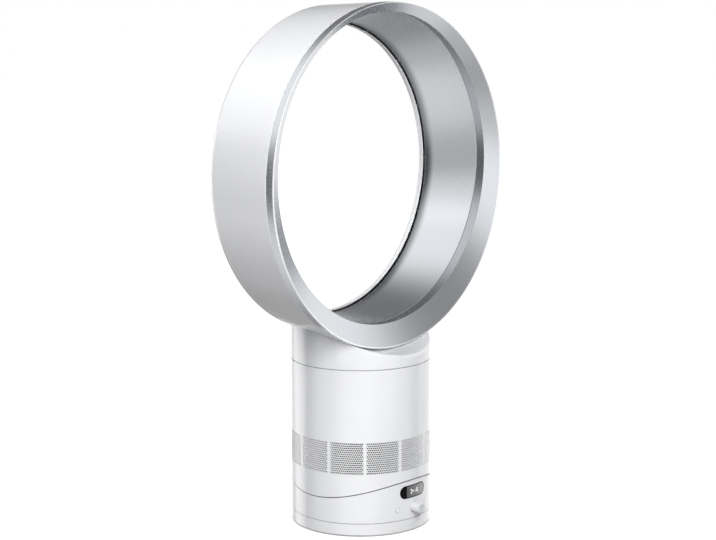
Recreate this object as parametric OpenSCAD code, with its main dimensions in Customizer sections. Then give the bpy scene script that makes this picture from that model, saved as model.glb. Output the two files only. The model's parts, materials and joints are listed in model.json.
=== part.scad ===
// Bladeless fan: a tall loop on a round column.
// The origin is the centre of the rubber pad that it stands on. +Z is up, and the air leaves along -Y.

/* [Column] */
// Outer diameter of the column
column_d = 145; // [138:0.5:152]
// Height of the seam between the foot and the control housing
foot_h = 13.3; // [13:0.1:15]
// Height from the foot's seam to the tilt seam at the front, where it is highest
control_front = 40.42; // [39:0.01:44]
// Radius of the tilt seam about the tilt axis
cradle_r = 176.1; // [165:0.1:190]
// Height from the air inlet to the seam below the neck
upper_tall = 74.7; // [70:0.1:80]
// Wall of the white mouldings
skin_t = 2.4; // [2:0.1:2.8]
// Width of the level seams at the foot and at the neck
seam_w = 0.5; // [0.4:0.1:0.8]
// Width of the curved tilt seam
tilt_seam_w = 0.9; // [0.5:0.1:1]

/* [Air inlet] */
// Height from the tilt seam at the front to the inlet panels
inlet_rise = 11.08; // [8:0.01:14]
// Height of the inlet panels
inlet_tall = 32.7; // [30:0.1:35]
// Number of inlet panels round the column
inlet_panels = 12; // [8:1:14]
// Width of the white bar between two panels
inlet_bar_w = 3.2; // [2.5:0.1:5]
// Thickness of an inlet panel
screen_t = 1.4; // [1:0.1:2]
// Diameter of a hole in an inlet panel
screen_hole_d = 3.6; // [2:0.1:4.4]
// Rows of holes in an inlet panel
screen_rows = 4; // [2:1:5]
// Columns of holes in an inlet panel
screen_columns = 5; // [3:1:6]

/* [Controls] */
// Width of the display window
display_w = 37.6; // [32:0.1:39]
// Height of the display window from edge to edge
display_tall = 13.4; // [11:0.1:13.8]
// Height from the middle of the display window to the tilt seam at the front
display_drop = 12.12; // [11:0.01:12.5]
// Diameter of the speed knob
knob_d = 10.8; // [9.5:0.1:11.2]
// How far the knob stands out of the column
knob_out = 10.5; // [7:0.1:12]
// Diameter of the power cap in the knob
cap_d = 6.4; // [5.5:0.1:6.6]
// Diameter of a push button
button_d = 5.2; // [4:0.1:6]
// How far a push button stands out of the column
button_out = 0.9; // [0.8:0.1:1.2]
// Turn from the knob to each push button
button_turn = 17.2; // [16:0.1:19]
// Travel of the buttons and of the power cap
press_travel = 0.8; // [0.5:0.1:0.8]

/* [Motion] */
// Tilt each way
tilt_swing = 10; // [6:0.5:11]
// Turn that frees the loop from the column
lock_turn = 15; // [10:1:20]
// Teeth of the fixed gear
gear_teeth = 70; // [64:1:72]
// Teeth of the pinion
pinion_teeth = 14; // [12:1:16]

/* [Loop] */
// Height from the neck's seam to the lowest point of the loop's widest circle
loop_lift = 18.6; // [17:0.1:24]
// Distance of the wall's rear edge behind the column's axis
wall_rear_y = 40.2; // [38:0.1:42]
// Radius of the white wall at its front edge
band_r = 174.3; // [170:0.1:178]
// How much smaller the wall's radius is at its rear edge
wall_taper = 6; // [4:0.1:8]
// How much smaller the front rim's radius is than the wall's
rim_inset = 0.2; // [0.1:0.1:1]
// Distance of the front rim before the column's axis
rim_y = 47.1; // [45:0.1:50]
// How much lower the rim's centre lies than the loop's axis
rim_drop = 3; // [0:0.1:4]
// Width of the silver band round the front of the white wall
band_w = 10.1; // [8:0.1:12]
// Width of the rolled rear from the wall to the lip of the opening
roll_w = 19.4; // [17:0.1:21]
// How far the lip lies behind the wall's rear edge
lip_back = 3.7; // [3:0.1:5]
// How far the rear of the loop bulges
nose_depth = 9; // [8:0.1:12]
// Width of the air slot
slot_w = 0.9; // [0.7:0.1:1.4]
// How far the air slot lies before the lip
slot_back = 2.8; // [2.4:0.1:3.2]
// How much wider the duct's radius is at its front
duct_taper = 6.5; // [5:0.1:8]
// Width of the step between the duct and the flare
step_w = 10.8; // [9:0.1:13]
// How much higher the duct's front centre lies than the loop's axis
duct_rise = 4.9; // [2:0.1:5]
// How much smaller the flare's inner edge is than the duct's front
flare_step = 0.7; // [0.3:0.1:1.2]
// How far the flare's inner edge lies behind the rim
flare_deep = 10.1; // [8:0.1:12]
// How much higher the flare's inner edge is centred than the loop's axis
flare_rise = 4.2; // [2:0.1:5]
// Wall of the loop's mouldings
shell_t = 2; // [1.6:0.1:2.1]
// Number of facets round the loop
loop_facets = 96; // [48:4:120]

/* [Hidden] */
$fn = 96;

// Clearances: between fitted pieces, round a running shaft, between moving pieces, and past a cut
fit = 0.1;
running = 0.05;
free = 0.3;
over = 1;

white = [0.95, 0.95, 0.96];
silver = [0.72, 0.73, 0.75];
black = [0.05, 0.05, 0.06];
rubber = [0.12, 0.12, 0.13];
steel = [0.6, 0.61, 0.63];
acetal = [0.9, 0.89, 0.84];
grey = [0.35, 0.36, 0.38];
board = [0.1, 0.35, 0.2];
brass = [0.78, 0.62, 0.3];

column_r = column_d / 2;
inner_r = column_r - skin_t;
seam_front_h = foot_h + control_front;
cradle_h = seam_front_h - cradle_r + sqrt(cradle_r * cradle_r - column_r * column_r);
inlet_low_h = seam_front_h + inlet_rise;
inlet_high_h = inlet_low_h + inlet_tall;
neck_h = inlet_high_h + upper_tall;
tilt_h = cradle_h + cradle_r;

// Foot
pad_t = 1.5;
pad_inset = 6.5;
plate_low = pad_t + fit;
plate_t = 3;
plate_top = plate_low + plate_t;
foot_edge = 0.8;
foot_top = foot_h - seam_w / 2;
deck_t = 2.4;
deck_low = foot_top - deck_t;
deck_hole_r = 0.742 * inner_r;
boss_r = 3.4;
boss_inset = 8;
boss_ring_r = inner_r - boss_inset;
foot_screw_count = 4;
post_screw_count = 3;
screw_r = 1.4;
screw_head_r = 2.6;
screw_head_t = 1.4;
screw_grip = 6;
post_r = 12;
post_bore_r = 5;
post_flange_r = 19;
post_flange_t = 2.5;
post_screw_r = 8.5;
post_turn = 180 / post_screw_count;
washer_r = 18;
washer_t = 1.6;
glide_low_r = 0.813 * inner_r;
glide_high_r = 0.913 * inner_r;
glide_t = 1.7;
gland_r = 3.8;
gland_flange_r = 4.8;
gland_flange_t = 1;
gland_bore_r = 2.6;
gland_long = 7;
terminal = [16, 9, 5];

// Turntable drive
gear_low = plate_top + fit;
gear_t = 4.6;
gear_rim = 5;
gear_share = 14 / 29;
gear_pitch_r = gear_share * column_r;
gear_module = 2 * gear_pitch_r / gear_teeth;
pinion_pitch_r = gear_module * pinion_teeth / 2;
gear_gap = gear_pitch_r + pinion_pitch_r;
root_share = 1.25;
pressure = 20;
backlash_share = 0.06;
flank_steps = 4;
pinion_shaft_r = 2;
pinion_lift = 0.6;
motor_r = 0.285 * inner_r;
motor_tall = 12.5;
motor_roof = 2;

// Control housing
floor_low = foot_h + seam_w / 2;
floor_t = 2.4;
floor_top = floor_low + floor_t;
display_h = seam_front_h - display_drop;
knob_share = 0.4565;
knob_h = floor_top + knob_share * (display_h - display_tall / 2 - floor_top);
bush_t = 2;
saddle_t = 3.2;
saddle_in = cradle_r + tilt_seam_w / 2;
saddle_out = saddle_in + saddle_t;
saddle_boss_x = 0.713 * inner_r;
saddle_boss_y = 0.514 * inner_r;
saddle_pad_r = 5;
saddle_pad_drop = 5.5;
saddle_head_rise = 0.5;
saddle_pad_low = cradle_h - saddle_pad_drop;
saddle_head_low = cradle_h + saddle_head_rise;
arc_half = 40;
rail_x = 0.428 * inner_r;
rail_w = 3;
slot_gap = 0.6;
slot_turn = 0.6;
rail_land = 6.2;
rail_reach = asin((sqrt(inner_r * inner_r - rail_x * rail_x) - rail_land) / saddle_out);
rail_swing = rail_reach - tilt_swing - slot_turn;
keeper_w = 9;
keeper_t = 2;
keeper_in = saddle_out + free;
keeper_out = keeper_in + keeper_t;
glide_x = 14;
glide_w = 5;
glide_swing = 12;
board_lift = 2;
control_board_low = floor_top + board_lift;
board_t = 1.6;
control_board_w = 0.827 * inner_r;
board_inset = 9;
control_board_front = inner_r - board_inset;
control_board_back = 0.342 * inner_r;
board_post_r = 2.4;
board_post_x = 0.342 * inner_r;
board_post_front = 0.713 * inner_r;
board_post_back = 0.4 * inner_r;
board_top = control_board_low + board_t + fit;
part_x = 14;
part_y = -(control_board_front + control_board_back) / 2;
small_capacitor_r = 3;
small_capacitor_tall = 7;
relay = [10, 12, 7];
connector = [24, 5, 6];
shelf_w = 30;
shelf_t = 1.6;
shelf_drop = 3.4;
shelf_low = display_h - display_tall / 2 - shelf_drop;
shelf_deep = 8;
shelf_back = inner_r - shelf_deep;
display_inset = 6.8;
display_board_y = inner_r - display_inset;
display_board_w = 40;
display_board_high = tilt_h - free
    - sqrt(saddle_out * saddle_out - (display_board_y - board_t) * (display_board_y - board_t));
module_w = 26;
module_tall = 7;
module_t = 2.6;
window_t = 1.8;
encoder_gap = 1.25;
encoder = [13, 9, shelf_low - board_top - encoder_gap];
encoder_inset = 1.6;
encoder_y = inner_r - encoder_inset;
knob_hole_gap = 0.35;
knob_shaft_r = 2.9;
stem_r = 1.2;
stem_gap = 0.3;
cap_t = 3.4;
cap_inset = 0.3;
stem_reach = 13;
stem_end_y = inner_r - stem_reach;
switch_box = [7, 5, 8];
button_flange = 0.8;
button_flange_t = 1;
button_stem = 4.6;
switch_small = [6, 4, 8];

// Upper column
housing_top = neck_h - seam_w / 2;
rocker_out = cradle_r - tilt_seam_w / 2;
rocker_t = 2.6;
rocker_in = rocker_out - rocker_t;
rocker_top = tilt_h - rocker_in;
ledge_w = 4;
ledge_t = 2.4;
fan_ledge_rise = 1.2;
fan_ledge_low = inlet_high_h + fan_ledge_rise;
isolator_t = 2;
flange_low = fan_ledge_low + ledge_t + isolator_t + 2 * fit;
flange_t = 2;
drive_board_r = 0.428 * inner_r;
drive_post_ring_r = 0.342 * inner_r;
drive_post_r = 3;
drive_post_count = 3;
drive_board_lift = 5;
drive_board_low = rocker_top + drive_board_lift;
capacitor_r = 6;
capacitor_tall = 12;
sink = [26, 10, 9];
sink_y = 14;
foam_r = 0.514 * inner_r;
foam_gap = 4;
foam_top = inlet_low_h - foam_gap;
mouth_r = 0.642 * inner_r;
throat_r = 0.87 * inner_r;
shroud_t = 2;
collar_tall = 17.2;
shroud_top = neck_h - collar_tall;
impeller_rise = 1;
impeller_low = flange_low + impeller_rise;
impeller_share = 0.572;
impeller_tall = impeller_share * (shroud_top - impeller_low);
impeller_top = impeller_low + impeller_tall;
cone_drop = 1;
cone_top = impeller_top - cone_drop;
tip_gap = 1.2;
hub_nose_r = 0.157 * inner_r;
hub_r = 0.514 * inner_r;
hub_rim_t = 2.5;
blade_t = 1.6;
blade_curve_r = 0.685 * inner_r;
blade_count = 9;
bucket_r = 0.485 * inner_r;
bucket_rise = 1.5;
bucket_low = impeller_top + bucket_rise;
bucket_t = 2.4;
motor_room = shroud_top - bucket_low;
bearing_r = 0.114 * inner_r;
bearing_t = 0.25 * motor_room;
bearing_lip = 0.03 * motor_room;
bearing_boss_r = 0.157 * inner_r;
shaft_r = 3;
rotor_r = 0.228 * inner_r;
stator_gap = 0.6;
winding_gap = 0.07 * motor_room;
stator_slots = 9;
stator_slot_w = 5;
stator_slot_deep = 8;
vane_count = 13;
vane_t = 1.4;
vane_ring_t = 1.2;
vane_low = bucket_low + bucket_t;
vane_high = shroud_top - 0.18 * motor_room;
seal_t = 3.2;
nut_r = 6;
nut_t = 4;
nut_sides = 6;

// Bayonet lock between the column and the neck
lock_flange_low = shroud_top + ledge_t + fit;
lock_flange_t = 2.5;
lock_bore_r = 0.813 * inner_r;
spigot_gap = 0.5;
spigot_t = 2.4;
spigot_out = inner_r - spigot_gap;
spigot_in = spigot_out - spigot_t;
spigot_tall = 8;
lock_r = spigot_in - spigot_gap;
lock_drop = 1.2;
lock_top = neck_h - lock_drop;
lug_deep = 2.8;
lug_drop = 6.4;
lug_low = neck_h - lug_drop;
lug_tall = 3;
lug_half = 4;
lug_count = 3;
lug_gap_turn = 0.8;
lug_gap = 0.4;
gasket_low_r = 0.842 * inner_r;
neck_low = neck_h + seam_w / 2;
neck_flange_rise = 0.8;
neck_flange_low = neck_low + neck_flange_rise;
neck_flange_t = 2;
neck_flange_r = 0.799 * inner_r;
lock_screw_r = 1.1;
lock_screw_head_r = 1.7;
lock_screw_turn = 270 / lug_count;

// Loop
wall_gap = 0.2;
joint_gap = 0.2;
nose_steps = 10;
lip_reach = 2.4;
lip_t = 1.3;
rim_round = 1.2;
rim_steps = 3;
duct_reach = 2.6;
duct_steps = 4;
spacer_count = 16;
spacer_w = 2;
spacer_deep = 2;
loop_axis_h = neck_h + loop_lift + band_r;
wall_rear_r = band_r - wall_taper;
rim_r = band_r - rim_inset;
lip_r = wall_rear_r - roll_w;
lip_y = wall_rear_y + lip_back;
duct_rear_r = lip_r + shell_t + slot_w;
duct_rear_y = lip_y - slot_back;
duct_front_r = duct_rear_r + duct_taper;
flare_r = duct_front_r - flare_step;
flare_y = rim_y - flare_deep;
duct_front_y = flare_y - step_w;
band_y = rim_y - band_w;
air_margin = 9;
air_w = 1.2 * inner_r;
air_front = band_y - air_margin;
air_back = wall_rear_y - air_margin;
rim_c = loop_axis_h - rim_drop;
duct_c = loop_axis_h + duct_rise;
flare_c = loop_axis_h + flare_rise;
// The centre height of the outer wall's circle at a distance y from the column's axis
function wall_c(y) = loop_axis_h - rim_drop * (wall_rear_y - y) / (wall_rear_y + rim_y);
band_c = wall_c(-band_y);
// A cone about the Y axis that follows the underside of the wall
cone_h = (loop_axis_h + band_c) / 2;
cone_rear_r = cone_h - loop_axis_h + wall_rear_r;
cone_front_r = cone_h - band_c + band_r;
cone_slope = (cone_front_r - cone_rear_r) / (band_y + wall_rear_y);

// Ring about the Z axis
module ring(inner, outer, low, high) {
    rotate_extrude() translate([inner, low]) square([outer - inner, high - low]);
}

// Part of a ring, between two angles
module sector(inner, outer, low, high, from, to) {
    rotate([0, 0, from]) rotate_extrude(angle = to - from)
        translate([inner, low]) square([outer - inner, high - low]);
}

// Disc about the Z axis
module disc(outer, low, high) {
    translate([0, 0, low]) cylinder(h = high - low, r = outer);
}

// Round bar along +Y from a point
module bar(at, long, r) {
    translate(at) rotate([-90, 0, 0]) cylinder(h = long, r = r);
}

// Copies round the Z axis, the first on the +X side turned by an angle
module around(count, distance, first = 0) {
    for (k = [0 : count - 1]) rotate([0, 0, first + k * 360 / count])
        translate([distance, 0, 0]) children();
}

// Copies on both sides of the middle plane, at four corners
module corners(x, y) {
    for (sx = [-1, 1], sy = [-1, 1]) translate([sx * x, sy * y, 0]) children();
}

// Solid cylinder about the tilt axis
module tilt_drum(r) {
    translate([-column_r - over, 0, tilt_h]) rotate([0, 90, 0]) cylinder(h = column_d + 2 * over, r = r);
}

// Curved strip about the tilt axis, below it
module tilt_strip(inner, outer, x, width, half) {
    translate([x - width / 2, 0, tilt_h]) rotate([0, 90, 0]) sector(inner, outer, 0, width, -half, half);
}

// Box that stands on a height, centred on X and reaching back from a front face
module block(size, x, front, low) {
    translate([x - size[0] / 2, front, low]) cube(size);
}

// Outline with round ends
module obround(w, h) {
    square([w - h, h], center = true);
    for (s = [-1, 1]) translate([s * (w - h) / 2, 0]) circle(d = h);
}

// Screw pointing up, with its head's underside at the origin
module screw(long, r, head_r, head_t) {
    translate([0, 0, -head_t]) cylinder(h = head_t, r = head_r);
    cylinder(h = long, r = r);
}

// Points of one gear tooth and the gap after it
function involute(ratio) = sqrt(ratio * ratio - 1) * 180 / PI - acos(1 / ratio);
function tooth(teeth, turn) =
    let (pitch_r = gear_module * teeth / 2)
    let (base_r = pitch_r * cos(pressure))
    let (root_r = pitch_r - root_share * gear_module)
    let (tip_r = pitch_r + gear_module)
    let (start_r = max(base_r, root_r))
    let (half = 90 / teeth * (1 - backlash_share) + involute(1 / cos(pressure)))
    let (radii = [for (k = [0 : flank_steps]) start_r + (tip_r - start_r) * k / flank_steps])
    let (right = [for (r = radii) [r, turn - half + involute(r / base_r)]])
    let (left = [for (k = [flank_steps : -1 : 0]) [radii[k], turn + half - involute(radii[k] / base_r)]])
    let (root = [[root_r, turn - half]])
    let (end = [[root_r, turn + half]])
    [for (p = concat(root, right, left, end)) [p[0] * cos(p[1]), p[0] * sin(p[1])]];

module gear_outline(teeth) {
    polygon([for (k = [0 : teeth - 1]) each tooth(teeth, k * 360 / teeth)]);
}

// Ring lofted through circles across the Y axis, each given as radius, y and centre height
module loft(stations) {
    n = len(stations);
    step = 360 / loop_facets;
    points = [for (s = stations, k = [0 : loop_facets - 1])
        [s[0] * sin(k * step), s[1], s[2] + s[0] * cos(k * step)]];
    faces = [for (i = [0 : n - 1], k = [0 : loop_facets - 1])
        let (a = i * loop_facets, b = (i + 1) % n * loop_facets, m = (k + 1) % loop_facets)
        each [[a + k, b + m, a + m], [a + k, b + k, b + m]]];
    polyhedron(points, faces);
}

// Foot

module rubber_foot() color(rubber) disc(column_r - pad_inset, 0, pad_t);

module base_plate() color(steel) difference() {
    disc(inner_r - fit, plate_low, plate_top);
    around(foot_screw_count, boss_ring_r, 45) disc(screw_r + fit, 0, plate_top + over);
    around(foot_screw_count, boss_ring_r, 45) disc(screw_head_r + fit, 0, plate_low + screw_head_t + fit);
    around(post_screw_count, post_screw_r) disc(screw_r + fit, 0, plate_top + over);
    around(post_screw_count, post_screw_r) disc(screw_head_r + fit, 0, plate_low + screw_head_t + fit);
    translate([-gland_r - free, column_r - gland_long, 0]) cube([2 * (gland_r + free), gland_long, foot_h]);
}

module foot_shell() color(white) difference() {
    union() {
        rotate_extrude() polygon([
            [inner_r, foot_edge], [column_r - foot_edge, foot_edge], [column_r, 2 * foot_edge],
            [column_r, foot_top], [deck_hole_r, foot_top], [deck_hole_r, deck_low], [inner_r, deck_low]]);
        around(foot_screw_count, boss_ring_r, 45) disc(boss_r, plate_top + fit, foot_top - deck_t / 2);
    }
    ring(glide_low_r, glide_high_r, foot_top - glide_t + fit, foot_top + over);
    around(foot_screw_count, boss_ring_r, 45) disc(screw_r + fit / 2, 0, plate_top + screw_grip);
    bar([0, inner_r - over, gland_h()], skin_t + 2 * over, gland_r + fit);
}

function gland_h() = (foot_edge + deck_low) / 2 + foot_edge;

module foot_screws() color(steel) {
    around(foot_screw_count, boss_ring_r, 45)
        translate([0, 0, plate_low + screw_head_t]) screw(screw_grip, screw_r, screw_head_r, screw_head_t);
    around(post_screw_count, post_screw_r)
        translate([0, 0, plate_low + screw_head_t]) screw(screw_grip, screw_r, screw_head_r, screw_head_t);
    around(post_screw_count, post_screw_r, post_turn) translate([0, 0, floor_top + free + washer_t])
        mirror([0, 0, 1]) screw(screw_grip, screw_r, screw_head_r, screw_head_t);
}

module centre_post() color(acetal) difference() {
    union() {
        disc(post_r, plate_top + fit, floor_top + free);
        disc(post_flange_r, plate_top + fit, plate_top + fit + post_flange_t);
    }
    disc(post_bore_r, 0, floor_top + over);
    around(post_screw_count, post_screw_r) disc(screw_r + fit / 2, 0, plate_top + screw_grip);
    around(post_screw_count, post_screw_r, post_turn)
        disc(screw_r + fit / 2, floor_top + free - screw_grip, floor_top + over);
}

module fixed_gear() color(acetal) difference() {
    translate([0, 0, gear_low]) rotate([0, 0, 90]) linear_extrude(gear_t) gear_outline(gear_teeth);
    disc(gear_pitch_r - gear_rim, 0, gear_low + gear_t + over);
}

module turntable_glide() color(acetal)
    ring(glide_low_r + fit, glide_high_r - fit, foot_top - glide_t + 2 * fit, floor_low - free);

module turntable_washer() color(steel) difference() {
    ring(post_bore_r, washer_r, floor_top + free, floor_top + free + washer_t);
    around(post_screw_count, post_screw_r, post_turn)
        disc(screw_r + fit, floor_top, floor_top + washer_t + over);
}

module cord_gland() color(rubber) difference() {
    union() {
        bar([0, column_r - gland_long + gland_flange_t, gland_h()], gland_long, gland_r);
        bar([0, column_r + fit, gland_h()], gland_flange_t, gland_flange_r);
    }
    bar([0, column_r - gland_long, gland_h()], gland_long + 2 * gland_flange_t + over, gland_bore_r);
}

module terminal_block() color(acetal)
    block(terminal, 0, inner_r - gland_long - terminal[1], plate_top + fit);

// Control housing

module wall_hole(r, h) bar([0, -column_r - over, h], skin_t + 2 * over, r);

module control_housing() color(white) difference() {
    union() {
        difference() {
            disc(column_r, floor_low, tilt_h);
            disc(inner_r, floor_top, tilt_h + over);
            tilt_drum(saddle_in);
        }
        corners(saddle_boss_x, saddle_boss_y) disc(boss_r, floor_top, saddle_pad_low);
        for (x = [-1, 1], y = [board_post_front, board_post_back])
            translate([x * board_post_x, -y, 0]) disc(board_post_r, floor_top - fit, control_board_low);
        intersection() {
            disc(inner_r + fit, shelf_low, shelf_low + shelf_t);
            block([shelf_w, column_r, column_r], 0, -column_r - shelf_back, 0);
        }
    }
    disc(post_r + bush_t + fit, 0, floor_top + over);
    corners(saddle_boss_x, saddle_boss_y)
        disc(screw_r + fit / 2, saddle_head_low - screw_grip, saddle_pad_low + over);
    translate([0, gear_gap, 0]) disc(pinion_shaft_r + free, 0, floor_top + over);
    wall_hole(knob_d / 2 + knob_hole_gap, knob_h);
    for (s = [-1, 1]) rotate([0, 0, s * button_turn]) wall_hole(button_d / 2 + free, knob_h);
    translate([0, -column_r + skin_t + over, display_h]) rotate([90, 0, 0])
        linear_extrude(column_r) obround(display_w + 2 * fit, display_tall + 2 * fit);
}

module turntable_bush() color(acetal) ring(post_r + running, post_r + bush_t, floor_low, floor_top);

module saddle_plate() color(grey) difference() {
    union() {
        intersection() {
            tilt_strip(saddle_in, saddle_out, 0, column_d, arc_half);
            disc(inner_r - fit, 0, tilt_h);
        }
        difference() {
            corners(saddle_boss_x, saddle_boss_y) disc(saddle_pad_r, saddle_pad_low, tilt_h);
            tilt_drum(saddle_in + saddle_t / 2);
        }
    }
    for (s = [-1, 1]) {
        tilt_strip(saddle_in - over, saddle_out + over, s * rail_x, rail_w + 2 * slot_gap, rail_reach);
        tilt_strip(saddle_in - over, saddle_in + saddle_t / 2, s * glide_x, glide_w + 2 * fit,
            glide_swing + slot_turn);
    }
    corners(saddle_boss_x, saddle_boss_y) {
        disc(screw_r + fit, 0, tilt_h);
        disc(screw_head_r + fit, saddle_head_low, tilt_h);
    }
}

module saddle_screws() color(steel) corners(saddle_boss_x, saddle_boss_y)
    translate([0, 0, saddle_head_low]) mirror([0, 0, 1])
        screw(screw_grip - fit, screw_r, screw_head_r, screw_head_t);

module tilt_glides() color(acetal) for (s = [-1, 1])
    tilt_strip(rocker_out + free, saddle_in + saddle_t / 2 - fit, s * glide_x, glide_w, glide_swing);

module oscillation_motor() color(steel) translate([0, gear_gap, floor_top + fit]) difference() {
    disc(motor_r, 0, motor_tall);
    disc(pinion_shaft_r + running, -over, motor_tall - motor_roof);
}

module control_board() color(board) difference() {
    translate([-control_board_w / 2, -control_board_front, control_board_low])
        cube([control_board_w, control_board_front - control_board_back, board_t]);
    for (x = [-1, 1], y = [board_post_front, board_post_back])
        translate([x * board_post_x, -y, 0]) disc(screw_r, control_board_low - over, board_top + over);
}

// Capacitor, relay and connector on the control board
module board_parts() color(grey) {
    translate([-part_x, part_y, board_top]) cylinder(h = small_capacitor_tall, r = small_capacitor_r);
    block(relay, part_x, part_y - relay[1] / 2, board_top);
    block(connector, 0, -control_board_back - connector[1] - fit, board_top);
}

module display_board() color(board)
    block([display_board_w, board_t, display_board_high - shelf_low - shelf_t], 0, -display_board_y,
        shelf_low + shelf_t + fit);

module display_module() color(grey)
    block([module_w, module_t, module_tall], 0, -display_board_y - module_t - fit,
        display_h - module_tall / 2);

module display_window() color(black) intersection() {
    ring(column_r - window_t, column_r, 0, tilt_h);
    translate([0, -column_r + skin_t + over, display_h]) rotate([90, 0, 0])
        linear_extrude(column_r) obround(display_w, display_tall);
}

module knob_encoder() color(grey) difference() {
    block(encoder, 0, -encoder_y, board_top);
    bar([0, -column_r, knob_h], column_r, knob_shaft_r + running);
}

module power_switch() color(grey)
    block(switch_box, 0, -stem_end_y + press_travel + free, board_top);

module button_switches() color(grey) for (s = [-1, 1]) rotate([0, 0, s * button_turn])
    block(switch_small, 0, -inner_r + fit + button_flange + button_flange_t + button_stem
        + press_travel + free, board_top);

module oscillation_pinion() color(acetal) translate([0, gear_gap, gear_low + pinion_lift]) {
    rotate([0, 0, 270 + 180 / pinion_teeth]) linear_extrude(gear_t - pinion_lift)
        gear_outline(pinion_teeth);
    cylinder(h = floor_top + motor_tall - motor_roof - gear_low - pinion_lift - free, r = pinion_shaft_r);
}

// Knob, power cap and buttons

module speed_knob() color(white) difference() {
    union() {
        bar([0, -column_r - knob_out, knob_h], knob_out + skin_t / 2, knob_d / 2);
        bar([0, -column_r, knob_h], column_r - encoder_y + encoder[1] - fit, knob_shaft_r);
    }
    bar([0, -column_r - knob_out - over, knob_h], cap_t + cap_inset + press_travel + free + over,
        cap_d / 2 + stem_gap);
    bar([0, -column_r - knob_out, knob_h], column_r, stem_r + stem_gap);
}

module power_cap() color(white) {
    bar([0, -column_r - knob_out + cap_inset, knob_h], cap_t, cap_d / 2);
    bar([0, -column_r - knob_out + cap_inset, knob_h],
        column_r + knob_out - cap_inset - stem_end_y, stem_r);
}

module button(turn) color(white) rotate([0, 0, turn]) {
    bar([0, -column_r - button_out, knob_h], button_out + skin_t + fit + button_flange + button_flange_t,
        button_d / 2);
    bar([0, -inner_r + fit + button_flange, knob_h], button_flange_t, button_d / 2 + button_flange);
    bar([0, -inner_r + fit + button_flange, knob_h], button_flange_t + button_stem, stem_r);
}

module left_button() button(-button_turn);

module right_button() button(button_turn);

// Upper column

panel_turn = 360 / inlet_panels;
bar_turn = inlet_bar_w / column_r * 180 / PI;
gap_turn = fit / column_r * 180 / PI;
window_half = (panel_turn - bar_turn) / 2;

module upper_housing() color(white) difference() {
    intersection() {
        union() {
            ring(inner_r, column_r, cradle_h, housing_top);
            ring(inner_r - ledge_w, column_r - fit, fan_ledge_low, fan_ledge_low + ledge_t);
            ring(inner_r - ledge_w, column_r - fit, shroud_top, shroud_top + ledge_t);
        }
        tilt_drum(rocker_out);
    }
    for (k = [0 : inlet_panels - 1])
        sector(inner_r - over, column_r + over, inlet_low_h, inlet_high_h,
            -90 + k * panel_turn - window_half, -90 + k * panel_turn + window_half);
    around(lug_count, spigot_out - spigot_t / 2, lock_screw_turn)
        disc(lock_screw_r + fit / 2, shroud_top - over, shroud_top + ledge_t + over);
}

// One inlet panel, in front of the column, with its grid of holes
module inlet_panel() {
    half = window_half - gap_turn;
    tall = inlet_high_h - inlet_low_h;
    difference() {
        sector(column_r - screen_t, column_r, inlet_low_h + fit, inlet_high_h - fit,
            -90 - half, -90 + half);
        for (i = [0 : screen_rows - 1], j = [0 : screen_columns - 1])
            rotate([0, 0, half * (2 * j + 1 - screen_columns) / screen_columns])
                bar([0, -column_r - over, inlet_low_h + tall * (2 * i + 1) / (2 * screen_rows)],
                    screen_t + 2 * over, screen_hole_d / 2);
    }
}

module inlet_screen() color(white)
    for (k = [0 : inlet_panels - 1]) rotate([0, 0, k * panel_turn]) inlet_panel();

module rocker_plate() color(grey) {
    intersection() {
        tilt_strip(rocker_in, rocker_out, 0, column_d, arc_half);
        disc(inner_r - fit, 0, tilt_h);
    }
    for (s = [-1, 1]) difference() {
        tilt_strip(rocker_out - fit, keeper_in, s * rail_x, rail_w, rail_swing);
        keeper_holes(s, screw_r / 2 + fit);
    }
    around(drive_post_count, drive_post_ring_r, post_turn / 2) intersection() {
        disc(drive_post_r, 0, drive_board_low);
        tilt_drum(rocker_in + fit);
    }
}

// Holes through the keepers into the rails, on both ends of each rail
module keeper_holes(s, r) {
    for (e = [-1, 1]) translate([s * rail_x, 0, tilt_h]) rotate([e * rail_swing / 2, 0, 0])
        translate([0, 0, -keeper_out - over]) cylinder(h = keeper_out + over - rocker_out, r = r);
}

module tilt_keepers() color(grey) for (s = [-1, 1]) difference() {
    tilt_strip(keeper_in, keeper_out, s * rail_x, keeper_w, rail_swing);
    keeper_holes(s, screw_r / 2 + fit);
}

module keeper_screws() color(steel) for (s = [-1, 1], e = [-1, 1])
    translate([s * rail_x, 0, tilt_h]) rotate([e * rail_swing / 2, 0, 0])
        translate([0, 0, -keeper_out - fit])
            screw(keeper_out - rocker_out, screw_r / 2, screw_r, screw_head_t / 2);

module drive_board() color(board)
    disc(drive_board_r, drive_board_low + fit, drive_board_low + fit + board_t);

// Capacitor, coil and heat sink on the drive board
module drive_parts() color(grey) {
    low = drive_board_low + board_t + 2 * fit;
    for (s = [-1, 1]) translate([s * sink_y, -capacitor_r, low])
        cylinder(h = capacitor_tall, r = capacitor_r);
    block(sink, 0, sink_y - sink[1] / 2, low);
}

module silencer_foam() color(rubber) intersection() {
    ring(foam_r, inner_r - free, cradle_h, foam_top);
    tilt_drum(rocker_in - free);
}

module isolator_ring() color(rubber)
    ring(inner_r - ledge_w + free, inner_r - free, fan_ledge_low + ledge_t + fit, flange_low - fit);

module impeller_shroud() color(grey) rotate_extrude() polygon([
    [mouth_r, flange_low], [inner_r - free, flange_low], [inner_r - free, flange_low + flange_t],
    [mouth_r + 2 * shroud_t, flange_low + flange_t], [throat_r + shroud_t, cone_top],
    [throat_r + shroud_t, shroud_top], [throat_r, shroud_top], [throat_r, cone_top]]);

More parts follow.
